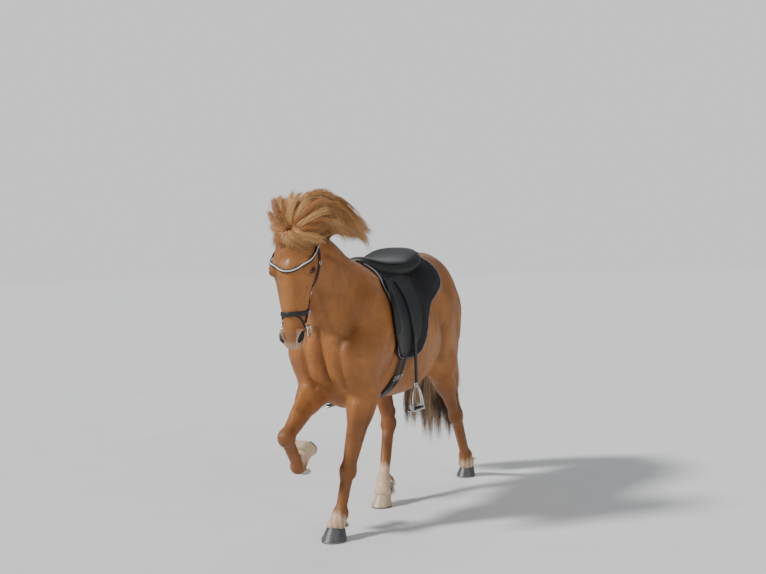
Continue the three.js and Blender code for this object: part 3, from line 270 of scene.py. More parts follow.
HEAD_LOCAL = [
    ball((0, 2, 60), (78, 68, 88)),
    ball((0, 22, 146), (92, 52, 104), 40),
    *both(lambda s: cone((s * 72, -22, 96), (s * 84, 6, 170), 24, 24, 30)),
    *both(lambda s: ball((s * 82, 26, 174), (27, 34, 36), 26)),
    *both(lambda s: cone((s * 80, -12, 206), (s * 54, -6, 350), 19, 13, 26)),
    *both(lambda s: ball((s * 54, -64, 162), (45, 92, 100), 30)),
    *both(lambda s: cone((s * 38, -106, 196), (s * 24, -46, 396), 33, 23, 30)),
    cone((0, 28, 190), (0, 20, 470), 53, 36, 30),
    cone((0, -14, 200), (0, -4, 440), 66, 44, 40),
    cone((0, -64, 210), (0, -26, 440), 46, 30, 40),
    ball((0, 4, 492), (53, 45, 52), 24),
    ball((0, 14, 526), (43, 29, 30), 20),
    *both(lambda s: ball((s * 41, 28, 490), (21, 23, 34), 16)),
    ball((0, -24, 518), (31, 22, 26), 14),
    ball((0, -34, 486), (29, 21, 28), 16),
]

head_field = field_of(HEAD_LOCAL)
HEAD_PART = dict(
    distance=lambda p: head_field(in_head(p)) * HEAD_SCALE,
    blend=46,
    ends=[(on_head(c), np.abs(HEAD_AXES.T @ np.diag(r) @ HEAD_AXES).diagonal() * HEAD_SCALE)
          for part in HEAD_LOCAL for c, r in part["ends"]],
)
BODY_PARTS = TORSO_PARTS + NECK_PARTS + [p for leg in LEGS.values() for p in leg_parts(leg)] + [HEAD_PART]
body_field = field_of(BODY_PARTS)


def slope(field, p, step=1.0):
    here = field(p)
    grad = np.stack([field(p + step * np.eye(3)[i]) - here for i in range(3)], axis=1)
    return here, grad / step


def settle(p, rounds=3, depth=0.0, field=body_field):
    """Moves points onto the surface that lies depth inside the field, and gives the way out there."""
    for _ in range(rounds):
        here, grad = slope(field, p)
        size = np.maximum((grad ** 2).sum(axis=1), 0.05)
        step = np.clip((here + depth) / size, -30, 30)
        p = p - grad * step[:, None]
    return p, unit(slope(field, p)[1])


def leaves(centre, direction, reach=600.0, field=body_field):
    """Where rays from inside the body leave it."""
    near = np.zeros(len(centre))
    far = np.full(len(centre), reach)
    grid = np.linspace(0, reach, 40)[1:]
    found = np.zeros(len(centre), dtype=bool)
    for r in grid:
        out = field(centre + direction * r) > 0
        first = out & ~found
        far[first] = r
        near[first] = r - grid[0]
        found |= out
        if found.all():
            break
    for _ in range(12):
        middle = (near + far) / 2
        inside = field(centre + direction * middle[:, None]) < 0
        near, far = np.where(inside, middle, near), np.where(inside, far, middle)
    return centre + direction * far[:, None]


# Unwrap of the body's own shape, in tiles: each region is rolled off its own axis

REGIONS = [
    (CHEST, LOIN, 300, (0, 0, 1)),
    (NECK_BASE, (-4, -700, 1376), 150, (0, 0, 1)),
    (tuple(on_head((0, -20, 40))), tuple(on_head((0, 0, 500))), 85, tuple(HEAD_FRONT)),
    *[(leg.get("elbow", leg.get("stifle")), leg["joint"], 70, (0, -1, 0)) for leg in LEGS.values()],
    *[(leg["joint"], leg["coronet"], 40, (0, -1, 0)) for leg in LEGS.values()],
    (TAIL_ROOT, (-100, 858, 780), 60, (0, 1, 0)),
]


def unwrap(points):
    best, uv = np.full(len(points), 1e9), np.zeros((len(points), 2))
    for i, (start, end, radius, up) in enumerate(REGIONS):
        a, d = vec(*start), vec(*end) - vec(*start)
        along = (points - a) @ d / d.dot(d)
        away = points - a - np.clip(along, 0, 1)[:, None] * d
        far = np.linalg.norm(away, axis=1) / radius
        u = unit(vec(*up) - unit(d) * vec(*up).dot(unit(d)))
        w = np.cross(unit(d), u)
        turn = np.arctan2(away @ w, away @ u) / (2 * math.pi) + 0.5
        tile = np.array([i % 4, i // 4]) / vec(4, 3)
        spot = np.stack([turn, np.clip(along * 0.7 + 0.15, 0.02, 0.98)], axis=1)
        spot = tile + (0.04 + 0.92 * spot) / vec(4, 3)
        closer = far < best
        best[closer], uv[closer] = far[closer], spot[closer]
    return uv


# Meshes

def to_scene(points):
    return np.asarray(points, dtype=float) / 1000.0 + SHIFT


def new_piece(name, mesh):
    piece = bpy.data.objects.new(name, mesh)
    bpy.context.scene.collection.objects.link(piece)
    return piece


def mesh_from(name, points, faces):
    """A smooth mesh piece from skeleton coordinates."""
    mesh = bpy.data.meshes.new(name)
    mesh.from_pydata(to_scene(points).tolist(), [], [tuple(f) for f in faces])
    mesh.polygons.foreach_set("use_smooth", [True] * len(mesh.polygons))
    mesh.update()
    return new_piece(name, mesh)


def taken_from(made):
    """Points and faces of a primitive, which is then removed."""
    points = np.array([v.co for v in made.data.vertices])
    faces = [tuple(p.vertices) for p in made.data.polygons]
    bpy.data.objects.remove(made)
    return points, faces


def active(piece):
    bpy.ops.object.select_all(action="DESELECT")
    piece.select_set(True)
    bpy.context.view_layer.objects.active = piece


def finish_piece(piece, material, slot, *nodes):
    """Gives a piece its material, hangs it on the root and hides the solids it stands for."""
    piece.data.materials.append(bpy.data.materials[material])
    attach(piece, "root")
    if nodes:
        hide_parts(*nodes)
    return piece


def points_of(piece):
    flat = np.empty(len(piece.data.vertices) * 3)
    piece.data.vertices.foreach_get("co", flat)
    return (flat.reshape(-1, 3) - SHIFT) * 1000.0


def set_points(piece, points):
    piece.data.vertices.foreach_set("co", to_scene(points).ravel())
    piece.data.update()


def paint(piece, name, values):
    """Stores a value or a colour for each point of a piece."""
    values = np.asarray(values, dtype=np.float32)
    if values.ndim == 1:
        layer = piece.data.attributes.new(name, "FLOAT", "POINT")
        layer.data.foreach_set("value", values)
    else:
        layer = piece.data.attributes.new(name, "FLOAT_COLOR", "POINT")
        opaque = np.ones((len(values), 1), dtype=np.float32)
        layer.data.foreach_set("color", np.hstack([values, opaque]).ravel())


def tube_faces(rows, around, start=0, closed=False):
    """Faces between rings of points, each ring joined to the next and, when closed, the last to the first."""
    faces = []
    for i in range(rows if closed else rows - 1):
        for j in range(around):
            a, b = start + i * around + j, start + i * around + (j + 1) % around
            step = ((i + 1) % rows - i) * around
            faces.append((a, b, b + step, a + step))
    return faces


def facing(points, faces, corners, way):
    """The faces, turned over if the one with these corners looks against the given way."""
    a, b, c = (points[i] for i in corners[:3])
    return [face[::-1] for face in faces] if np.cross(b - a, c - a).dot(way) < 0 else faces


# Hair: each strand is a thin closed band of three sides that tapers to a point

def hair_piece(name, paths, width, thick, face, roots_uv, tone, smooth=True):
    """paths is strands by stations by 3, width and thick are per strand, face is the flat side's normal."""
    n, s = paths.shape[:2]
    along = unit(np.gradient(paths, axis=1))
    across = unit(np.cross(along, face[:, None, :]))
    normal = np.cross(across, along)
    t = np.linspace(0, 1, s)
    taper = (0.45 + 0.55 * np.minimum(1, t / 0.15)) * (1 - t ** 2.6) + 0.02
    w = width[:, None, None] * taper[None, :, None] * 0.5
    h = thick[:, None, None] * taper[None, :, None]
    ring = np.stack([paths - across * w, paths + across * w, paths + normal * h], axis=2)
    tip = paths[:, -1:] + along[:, -1:] * width[:, None, None]
    points = np.concatenate([ring[:, :-1].reshape(n, -1, 3), tip], axis=1)
    rings = s - 1
    per = rings * 3 + 1
    faces = [(0, 1, 2)]
    for r in range(rings - 1):
        for j in range(3):
            a, b = r * 3 + j, r * 3 + (j + 1) % 3
            faces += [(a, b + 3, b), (a, a + 3, b + 3)]
    last = (rings - 1) * 3
    faces += [(last + (j + 1) % 3, last + j, per - 1) for j in range(3)]
    faces = np.array(faces)
    whole = (faces[None] + (np.arange(n) * per)[:, None, None]).reshape(-1, 3)
    mesh = bpy.data.meshes.new(name)
    mesh.vertices.add(n * per)
    mesh.vertices.foreach_set("co", to_scene(points).ravel())
    mesh.loops.add(len(whole) * 3)
    mesh.loops.foreach_set("vertex_index", whole.ravel().astype(np.int32))
    mesh.polygons.add(len(whole))
    mesh.polygons.foreach_set("loop_start", np.arange(0, len(whole) * 3, 3, dtype=np.int32))
    mesh.polygons.foreach_set("loop_total", np.full(len(whole), 3, dtype=np.int32))
    mesh.polygons.foreach_set("use_smooth", np.full(len(whole), smooth))
    mesh.update(calc_edges=True)
    local = np.zeros((per, 2))
    local[:, 1] = np.append(np.repeat(t[:-1], 3), 1.0)
    local[:-1, 0] = np.tile([0.0, 1.0, 0.5], rings)
    local[-1, 0] = 0.5
    uv = roots_uv[:, None, :] + (local[None] - 0.5) * 0.003
    layer = mesh.uv_layers.new(name="OFBake")
    layer.data.foreach_set("uv", uv.reshape(-1, 2)[whole.ravel()].astype(np.float32).ravel())
    piece = new_piece(name, mesh)
    paint(piece, "tone", np.repeat(tone, per))
    paint(piece, "along", np.tile(local[:, 1], n))
    return piece


# A combed strand: its stations, the shortest one's share of its lock, its wave and its tip's stray, in mm
STATIONS = 7
SHORTEST = 0.72
SWAY = 6.0
DRIFT = 9.0


def comb(guides, count, rng):
    """Strands in locks: their paths, flat sides, tones and roots."""
    n = round(count / len(guides))
    paths, faces, tones, roots = [], [], [], []
    t = np.linspace(0, 1, STATIONS)
    for g in guides:
        length = rng.uniform(SHORTEST, 1.0, n)
        centre = through(g["points"], t)
        along = unit(np.gradient(centre, axis=0))
        across = unit(np.cross(along, g["face"]))
        normal = np.cross(across, along)
        a = rng.normal(0, 0.42, n) * g["width"]
        b = rng.normal(0, 0.42, n) * g["depth"]
        at = t[None] * length[:, None]
        base = through(g["points"], at)
        i = np.clip(np.round(at * (STATIONS - 1)).astype(int), 0, STATIONS - 1)
        spread = 1 - g["gather"] * at ** 1.3
        phase, turns = rng.uniform(0, 6.28, n), rng.uniform(0.7, 1.6, n)
        sway = SWAY * at * np.sin(phase[:, None] + turns[:, None] * 6.28 * at)
        drift_a = rng.normal(0, DRIFT, n)[:, None] * at ** 2
        drift_b = rng.normal(0, DRIFT, n)[:, None] * at ** 2
        path = base + across[i] * (a[:, None] * spread + sway + drift_a)[..., None]
        path += normal[i] * (b[:, None] * spread + drift_b)[..., None]
        paths.append(path)
        faces.append(np.tile(np.asarray(g["face"], dtype=float), (n, 1)))
        tones.append(g["tone"] + rng.normal(0, 0.1, n))
        roots.append(np.tile(path[:, 0].mean(axis=0), (n, 1)) * 0.3 + path[:, 0] * 0.7)
    return [np.concatenate(rows) for rows in (paths, faces, tones, roots)]


def hair_from_guides(name, guides, count, rng, width):
    paths, faces, tones, roots = comb(guides, count, rng)
    size = rng.uniform(0.7, 1.25, len(paths))
    return hair_piece(name, paths, width * size, width * 0.3 * size, faces, unwrap(roots), tones)


# Materials

def new_material(name):
    material = bpy.data.materials.new(name)
    material.use_nodes = True
    tree = material.node_tree
    return tree, tree.nodes["Principled BSDF"]


def link(tree, a, b):
    tree.links.new(a, b)


def noise(tree, vector, scale, detail=3.0, rough=0.6, stretch=None):
    node = tree.nodes.new("ShaderNodeTexNoise")
    node.inputs["Scale"].default_value = scale
    node.inputs["Detail"].default_value = detail
    node.inputs["Roughness"].default_value = rough
    if stretch:
        mapping = tree.nodes.new("ShaderNodeMapping")
        mapping.inputs["Scale"].default_value = stretch
        link(tree, vector, mapping.inputs["Vector"])
        vector = mapping.outputs["Vector"]
    link(tree, vector, node.inputs["Vector"])
    return node.outputs["Fac"]


def ramp(tree, value, stops):
    node = tree.nodes.new("ShaderNodeValToRGB")
    elements = node.color_ramp.elements
    for i, (place, colour) in enumerate(stops):
        element = elements[i] if i < 2 else elements.new(place)
        element.position = place
        element.color = (*colour[:3], 1)
    link(tree, value, node.inputs["Fac"])
    return node.outputs["Color"]


def blend_colours(tree, factor, a, b, kind="MIX"):
    node = tree.nodes.new("ShaderNodeMix")
    node.data_type = "RGBA"
    node.blend_type = kind
    for socket, value in ((node.inputs[0], factor), (node.inputs[6], a), (node.inputs[7], b)):
        if isinstance(value, bpy.types.NodeSocket):
            link(tree, value, socket)
        elif isinstance(value, (int, float)):
            socket.default_value = value
        else:
            socket.default_value = (*value[:3], 1)
    return node.outputs[2]


def calculate(tree, kind, a, b=0.5):
    node = tree.nodes.new("ShaderNodeMath")
    node.operation = kind
    for socket, value in ((node.inputs[0], a), (node.inputs[1], b)):
        if isinstance(value, bpy.types.NodeSocket):
            link(tree, value, socket)
        else:
            socket.default_value = value
    return node.outputs[0]


def bumped(tree, shader, height, strength, distance):
    node = tree.nodes.new("ShaderNodeBump")
    node.inputs["Strength"].default_value = strength
    node.inputs["Distance"].default_value = distance
    link(tree, height, node.inputs["Height"])
    link(tree, node.outputs["Normal"], shader.inputs["Normal"])


def object_place(tree):
    return tree.nodes.new("ShaderNodeTexCoord").outputs["Object"]


def attribute(tree, name, kind="Fac"):
    node = tree.nodes.new("ShaderNodeAttribute")
    node.attribute_name = name
    return node.outputs[kind]


def coat_material():
    tree, shader = new_material("chestnut_coat")
    place = object_place(tree)
    paint_colour = attribute(tree, "coat", "Color")
    streak_body = noise(tree, place, 1.0, 4, 0.7, (420, 60, 260))
    streak_limb = noise(tree, place, 1.0, 4, 0.7, (420, 420, 60))
    limb = attribute(tree, "limb")
    streak = blend_colours(tree, limb, streak_body, streak_limb)
    patches = noise(tree, place, 9.0, 4, 0.6)
    shade = ramp(tree, patches, [(0.3, (0.78, 0.74, 0.70)), (0.7, (1.12, 1.12, 1.12))])
    colour = blend_colours(tree, 1.0, paint_colour, shade, "MULTIPLY")
    fine = ramp(tree, streak, [(0.3, (0.74, 0.70, 0.66)), (0.7, (1.2, 1.2, 1.2))])
    colour = blend_colours(tree, 0.75, colour, fine, "MULTIPLY")
    link(tree, colour, shader.inputs["Base Color"])
    shader.inputs["Roughness"].default_value = 0.52
    shader.inputs["Specular IOR Level"].default_value = 0.36
    bumped(tree, shader, streak, 0.5, 0.0016)


def hair_material(name, dark, middle, pale):
    tree, shader = new_material(name)
    tone = attribute(tree, "tone")
    along = attribute(tree, "along")
    place = object_place(tree)
    speck = noise(tree, place, 140.0, 2, 0.5)
    value = calculate(tree, "ADD", tone, calculate(tree, "MULTIPLY", along, 0.34))
    speck = calculate(tree, "SUBTRACT", speck, 0.5)
    value = calculate(tree, "ADD", value, calculate(tree, "MULTIPLY", speck, 0.3))
    colour = ramp(tree, value, [(0.15, dark), (0.55, middle), (0.95, pale)])
    link(tree, colour, shader.inputs["Base Color"])
    shader.inputs["Roughness"].default_value = 0.42


def surface_pattern(tree, place, kind, scale):
    """Height of a worked surface: leather's pebbles, woven cloth, horn's fine streaks or plain grain."""
    if kind == "pebble":
        node = tree.nodes.new("ShaderNodeTexVoronoi")
        node.feature = "SMOOTH_F1"
        node.inputs["Scale"].default_value = scale
        link(tree, place, node.inputs["Vector"])
        return node.outputs["Distance"]
    if kind == "weave":
        lines = []
        for axis in "YZ":
            node = tree.nodes.new("ShaderNodeTexWave")
            node.bands_direction = axis
            node.inputs["Scale"].default_value = scale
            node.inputs["Distortion"].default_value = 1.2
            link(tree, place, node.inputs["Vector"])
            lines.append(node.outputs["Fac"])
        return calculate(tree, "MAXIMUM", *lines)
    return noise(tree, place, scale, 5, 0.6, (1, 1, 0.08) if kind == "streak" else None)


def scaled(colour, factor):
    return tuple(min(1, c * factor) for c in colour)


def plain_material(name, colour, rough, kind="grain", metal=0.0, grain=260.0, strength=0.25, depth=0.0006):
    tree, shader = new_material(name)
    place = object_place(tree)
    fine = surface_pattern(tree, place, kind, grain)
    wear = noise(tree, place, 11.0, 4)
    tint = ramp(tree, fine, [(0.2, scaled(colour, 0.78)), (0.8, scaled(colour, 1.2))])
    dull = ramp(tree, wear, [(0.35, (0.85,) * 3), (0.75, (1.25,) * 3)])
    link(tree, blend_colours(tree, 1.0, tint, dull, "MULTIPLY"), shader.inputs["Base Color"])
    matt = ramp(tree, wear, [(0.3, scaled((rough,) * 3, 0.8)), (0.7, scaled((rough,) * 3, 1.2))])
    link(tree, matt, shader.inputs["Roughness"])
    shader.inputs["Metallic"].default_value = metal
    bumped(tree, shader, fine, strength, depth)


# Skin

def segment_distance(p, a, b):
    a, d = vec(*a), vec(*b) - vec(*a)
    t = np.clip((p - a) @ d / d.dot(d), 0, 1)
    return np.linalg.norm(p - a - t[:, None] * d, axis=1)


# Low ridges and hollows of the head, in the head's frame: from, to, width, height
HEAD_RELIEF = [
    *[item for s in (1, -1) for item in (
        ((s * 62, 20, 224), (s * 44, 30, 410), 9, 2.5),
        ((s * 70, 34, 158), (s * 40, 52, 120), 10, 4.0),
        ((s * 66, -20, 250), (s * 50, -6, 350), 15, -3.0),
        ((s * 62, -84, 120), (s * 56, -20, 200), 12, 3.0),
        ((s * 34, 18, 380), (s * 34, 34, 452), 9, -2.5),
        ((s * 74, 46, 172), (s * 60, 50, 206), 3.5, -1.6),
        ((s * 68, 48, 190), (s * 54, 48, 226), 3.5, -1.3),
        ((s * 52, 16, 452), (s * 58, 6, 500), 6, -1.8),
        ((s * 24, 46, 452), (s * 30, 44, 520), 6, -1.6),
    )],
]


def mouth_line(q):
    """Groove between the lips, in the head's frame."""
    depth = np.full(len(q), 1e3)
    path = [(20, 560), (-3, 545), (-9, 500), (-18, 462)]
    for (f0, d0), (f1, d1) in zip(path, path[1:]):
        a, d = vec(f0, d0), vec(f1 - f0, d1 - d0)
        r = q[:, 1:] - a
        t = np.clip(r @ d / d.dot(d), 0, 1)
        depth = np.minimum(depth, np.linalg.norm(r - t[:, None] * d, axis=1))
    return np.exp(-(depth / 2.6) ** 2)


def nostril(q, side):
    """Distance outwards from one nostril, in the head's frame."""
    c = q - NOSTRIL_PLACE * vec(side, 1, 1)
    turn = -0.62 * side
    x = c[:, 0] * math.cos(turn) + c[:, 1] * math.sin(turn)
    y = -c[:, 0] * math.sin(turn) + c[:, 1] * math.cos(turn)
    x = x + 0.30 * side * c[:, 2]
    return (np.sqrt((x / 9.0) ** 2 + (y / 24) ** 2 + (c[:, 2] / 20) ** 2) - 1) * 9


EYE_OUT = unit(vec(0.87, 0.49, -0.03))
LID_OPENING, LID_LENGTH = 10.0, 20.0


def eye_axes(side):
    out = EYE_OUT * vec(side, 1, 1)
    slant = vec(side * 0.15, -0.75, -0.6)
    long = unit(slant - out * out.dot(slant))
    return out, long, np.cross(out, long)


LID_THICK = 3.0
NOSTRIL_RIM = 4.5
MOUTH_DEPTH = 4.2


def skin_field(p):
    """The body's field with lids over the eyes, nostrils, a mouth and the face's fine relief."""
    value = body_field(p)
    q = in_head(p)
    near = head_box(q, 160, 190, -60, 620)
    if not near.any():
        return value
    h = q[near]
    v = value[near] / HEAD_SCALE
    for start, end, width, height in HEAD_RELIEF:
        v = v - height * np.exp(-(segment_distance(h, start, end) / width) ** 2)
    for side in (1, -1):
        globe = np.linalg.norm(h - eye_centre(side), axis=1) - (EYE_RADIUS + LID_THICK)
        v = blended(v, globe, 14.0)
        hole = nostril(h, side)
        v = v - 3.0 * np.exp(-(np.abs(hole - NOSTRIL_RIM) / NOSTRIL_RIM) ** 2)
        v = -blended(-v, hole, 5.0)
    v = v + MOUTH_DEPTH * mouth_line(h) * smooth_step(70, 20, np.abs(h[:, 0])) * (h[:, 2] > 440)
    value[near] = v * HEAD_SCALE
    return value


def lid_gap(across, along):
    """How far places seen on the eye lie outside the almond between its lids."""
    return np.abs(across) - LID_OPENING * (1 - (along / LID_LENGTH) ** 2)


def open_lids(p):
    """Pushes the skin inside the almond between the lids in behind the front of the eye."""
    q = in_head(p)
    for side in (1, -1):
        eye = eye_centre(side)
        out, long, high = eye_axes(side)
        r = q - eye
        d = np.linalg.norm(r, axis=1)
        u, front = r @ long, r @ out
        gap = lid_gap(r @ high, u)
        ahead = (front > 0) * (d < 40)
        inside = smooth_step(0.8, -0.8, gap) * ahead
        target = eye + r / np.maximum(d, 1e-6)[:, None] * (EYE_RADIUS - 4.0)
        q = q + (target - q) * inside[:, None]
        fold = 1.8 * np.exp(-((gap - 2.6) / 2.0) ** 2) - 1.7 * np.exp(-((gap - 7.6) / 1.8) ** 2)
        fold = (fold + 1.2 * np.exp(-((gap - 11.5) / 2.2) ** 2)) * ahead * smooth_step(27, 19, np.abs(u))
        q = q + r / np.maximum(d, 1e-6)[:, None] * (fold * (1 - inside))[:, None]
    return on_head(q)


def base_of_balls(name, parts, voxel):
    """One mesh grown from small spheres along every muscle, joined by a voxel remesh."""
    bpy.ops.object.select_all(action="DESELECT")
    bpy.ops.mesh.primitive_ico_sphere_add(subdivisions=3, radius=1, location=(0, 0, 0))
    sphere, corners = taken_from(bpy.context.object)
    corners = np.array(corners)
    points, faces = [], []
    for part in parts:
        for centre, radii in part["ends"]:
            faces.append(corners + len(points) * len(sphere))
            points.append(sphere * radii + centre)
    piece = mesh_from(name, np.concatenate(points), np.concatenate(faces))
    active(piece)
    piece.data.remesh_voxel_size = voxel / 1000.0
    piece.data.remesh_voxel_adaptivity = 0.0
    bpy.ops.object.voxel_remesh()
    return piece


def refine(piece, chosen):
    """Divides the faces whose corners are all chosen."""
    mesh = piece.data
    active(piece)
    bpy.ops.object.mode_set(mode="EDIT")
    bpy.ops.mesh.select_mode(type="FACE")
    bpy.ops.mesh.select_all(action="DESELECT")
    bpy.ops.object.mode_set(mode="OBJECT")
    picked = np.array([all(chosen[i] for i in p.vertices) for p in mesh.polygons])
    mesh.polygons.foreach_set("select", picked)
    bpy.ops.object.mode_set(mode="EDIT")
    bpy.ops.mesh.subdivide(number_cuts=1, smoothness=0)
    bpy.ops.object.mode_set(mode="OBJECT")


def near_face_parts(q, reach):
    near = np.zeros(len(q), dtype=bool)
    for side in (1, -1):
        near |= np.linalg.norm(q - vec(side * 100, 28, 188), axis=1) < reach
        near |= np.linalg.norm(q - vec(side * 48, 38, 500), axis=1) < reach
    near |= (q[:, 2] > 450 - reach * 0.2) & (q[:, 2] < 620) & (mouth_line(q) > 0.02)
    return near


STAR_COLOUR = vec(0.70, 0.60, 0.48)
# Painted shade inside the nostrils, laid in the shallow carved openings where a deep opening would be dark
NOSTRIL_SHADE = vec(0.016, 0.010, 0.009)
LID_COLOUR = vec(0.035, 0.022, 0.018)
# How far each white sock reaches up from the coronet
SOCKS = dict(fore_left=72, fore_right=82, hind_left=72, hind_right=165)


def coat_colour(p, looks):
    """Colour of the coat at a place: chestnut, paler and darker by region, with its white marks and painted
    shade in the nostrils.
    """
    base, dark, pale, cream, grey = (np.array(c[:3]) for c in (
        looks.chestnut, looks.dark_coat, looks.pale_coat, looks.cream, looks.muzzle_grey))
    rgb = np.tile(base, (len(p), 1))

    def lay(colour, amount):
        nonlocal rgb
        rgb = rgb + (colour - rgb) * np.clip(amount, 0, 1)[:, None]

    lay(dark, 0.55 * smooth_step(640, 520, p[:, 2]))
    lay(dark, 0.45 * np.exp(-((p[:, 2] - 1330) / 90) ** 2) * (p[:, 1] > -300))
    lay(pale, 0.5 * np.exp(-(((p[:, 1] - 250) / 190) ** 2 + ((p[:, 2] - 790) / 120) ** 2)))
    lay(pale, 0.5 * np.exp(-(((p[:, 1] - 650) / 90) ** 2 + ((p[:, 2] - 880) / 160) ** 2)))
    q = in_head(p)
    head = head_box(q, 150, 170, -20, 620)
    muzzle = smooth_step(452, 492, q[:, 2]) * head
    lay(grey, (0.3 + 0.45 * smooth_step(12, 34, np.abs(q[:, 0]))) * muzzle)
    lay(cream, 0.55 * smooth_step(512, 545, q[:, 2]) * head)
    star = np.exp(-(((q[:, 0] + 2) / 6.5) ** 2 + ((q[:, 2] - 146 + 0.7 * q[:, 0]) / 10) ** 2))
    lay(STAR_COLOUR, 0.85 * (star * (q[:, 1] > 0) * head))
    for side in (1, -1):
        hole = nostril(q, side)
        lay(cream, 0.55 * np.exp(-((hole - 6.4) / 2.0) ** 2) * head)
        # Painted shade in the nostril's opening
        lay(NOSTRIL_SHADE, smooth_step(5.4, 3.2, hole) * head)
        out, long, high = eye_axes(side)
        r = q - eye_centre(side)
        gap = lid_gap(r @ high, r @ long)
        ahead = (r @ out > 0) * (np.linalg.norm(r, axis=1) < 40) * smooth_step(27, 20, np.abs(r @ long))
        lay(dark, 0.55 * np.exp(-((gap - 7.5) / 5.0) ** 2) * ahead)
        lay(LID_COLOUR, smooth_step(3.2, 1.6, gap) * ahead)
    for name, leg in LEGS.items():
        low = np.linalg.norm(p - vec(*leg["coronet"]), axis=1)
        high = SOCKS[name]
        lay(cream, smooth_step(high, high - 40, low + 10 * np.sin(p[:, 0] * 0.2 + p[:, 1] * 0.13)))
    return rgb


def limb_mask(p):
    q = in_head(p)
    head = smooth_step(20, 90, q[:, 2]) * (np.abs(q[:, 0]) < 150) * (np.abs(q[:, 1]) < 170)
    return np.maximum(smooth_step(760, 640, p[:, 2]), head)


FLESH_NODES = ["torso", "neck", "head"] + [
    "%s_%s" % (leg, part)
    for leg, uppers in (("foreleg_left", "forearm"), ("foreleg_right", "forearm"),
                        ("hind_leg_left", "gaskin"), ("hind_leg_right", "gaskin"))
    for part in (uppers, "cannon", "pastern")
]


def body_relief():
    """Muscles, grooves, tendons and veins: places along each, its half width and its height."""
    lines = [([(0, -590, 1020), (0, -600, 900), (0, -560, 740)], 15, -11)]
    for s in (1, -1):
        lines += [
            ([(s * 46, -590, 930), (s * 50, -560, 770)], 34, 9),
            ([(s * 102, -560, 950), (s * 96, -560, 860), (s * 84, -520, 730)], 16, -8),
            ([(s * 100, -250, 1200), (s * 150, -380, 1040), (s * 165, -470, 910)], 24, 4.5),
            ([(s * 84, -370, 1190), (s * 120, -490, 1030), (s * 130, -560, 930)], 30, -5),
            ([(s * 150, -190, 1060), (s * 165, -250, 880), (s * 150, -330, 720)], 19, -9),
            ([(s * 160, -330, 980), (s * 170, -370, 850)], 40, 8),
            ([(s * 58, -750, 1260), (s * 72, -670, 1130), (s * 70, -600, 1000)], 18, -5),
            ([(s * 84, -700, 1300), (s * 98, -635, 1210), (s * 106, -580, 1110)], 26, 3.5),
            ([(s * 60, -640, 1350), (s * 70, -470, 1290)], 18, -5),
            ([(s * 150, 330, 920), (s * 165, 372, 760)], 24, -11),
            ([(s * 172, 250, 1180)], 42, 5),
            ([(s * 150, 340, 1190), (s * 190, 450, 1050), (s * 175, 520, 900)], 28, -4.5),
            ([(s * 120, 600, 1140), (s * 150, 610, 1000), (s * 130, 570, 840)], 24, -5),
            ([(s * 180, -60, 760), (s * 190, 60, 730), (s * 176, 200, 760)], 12, 2.5),
            *[([(s * 205, y, 1080), (s * 228, y - 30, 930), (s * 215, y - 50, 800)], 13, 2.4)
              for y in (40, 90, 140, 190, 240)],
        ]
    for leg in LEGS.values():
        s, joint, fetlock = leg["side"], leg["joint"], leg["fetlock"]
        top = leg.get("elbow", leg.get("stifle"))
        upper, knee = mix(top, joint, 0.12), mix(joint, fetlock, 0.2)
        for side in (s, -s):
            low = add(mix(joint, fetlock, 0.85), (side * 34, 12, 0))
            lines.append(([add(knee, (side * 34, 10, 0)), low], 9, -4.5))
        lines += [([add(fetlock, (off, 34, 6))], 13, 4) for off in (16, -16)]
        lines.append(([add(upper, (s * 60, -14, 0)), add(mix(top, joint, 0.62), (s * 46, 8, 0))], 12, -6))
        if "elbow" in leg:
            lines.append(([add(upper, (0, -62, 0)), add(mix(top, joint, 0.5), (0, -54, 0))], 22, 6))
            lines += [([add(joint, (off, -40, 10))], 14, 3.5) for off in (14, -14)]
            lines.append(([add(joint, (s * 6, 46, 16))], 15, 8))
            lines.append(([add(joint, (s * 34, 0, -26)), add(joint, (s * -34, 0, -26))], 9, -2.5))
        else:
            point = add(joint, hock_point(leg))
            middle = mix(leg["stifle"], point, 0.6)
            for side in (1, -1):
                lines.append(([add(middle, (side * 26, -16, 0)), add(point, (side * 24, -26, -4))], 15, -10))
            lines.append(([add(joint, (s * 36, -16, -14))], 14, 4))
    return lines


def raised(p, lines):
    """Height of the relief at each place. Each line is first laid onto the body's surface."""
    height = np.zeros(len(p))
    for places, width, amount in lines:
        spots = vec(*places[0])[None] if len(places) == 1 else through(places, np.linspace(0, 1, 9))
        spots, _ = settle(spots, 8)
        low, high = spots.min(axis=0) - width * 2.6, spots.max(axis=0) + width * 2.6
        near = ((p > low) & (p < high)).all(axis=1)
        if not near.any():
            continue
        close = np.full(near.sum(), 1e9)
        for a, b in zip(spots[:-1], spots[1:]):
            close = np.minimum(close, segment_distance(p[near], tuple(a), tuple(b)))
        if len(spots) == 1:
            close = np.linalg.norm(p[near] - spots[0], axis=1)
        height[near] += amount * np.exp(-(close / width) ** 2)
    return height


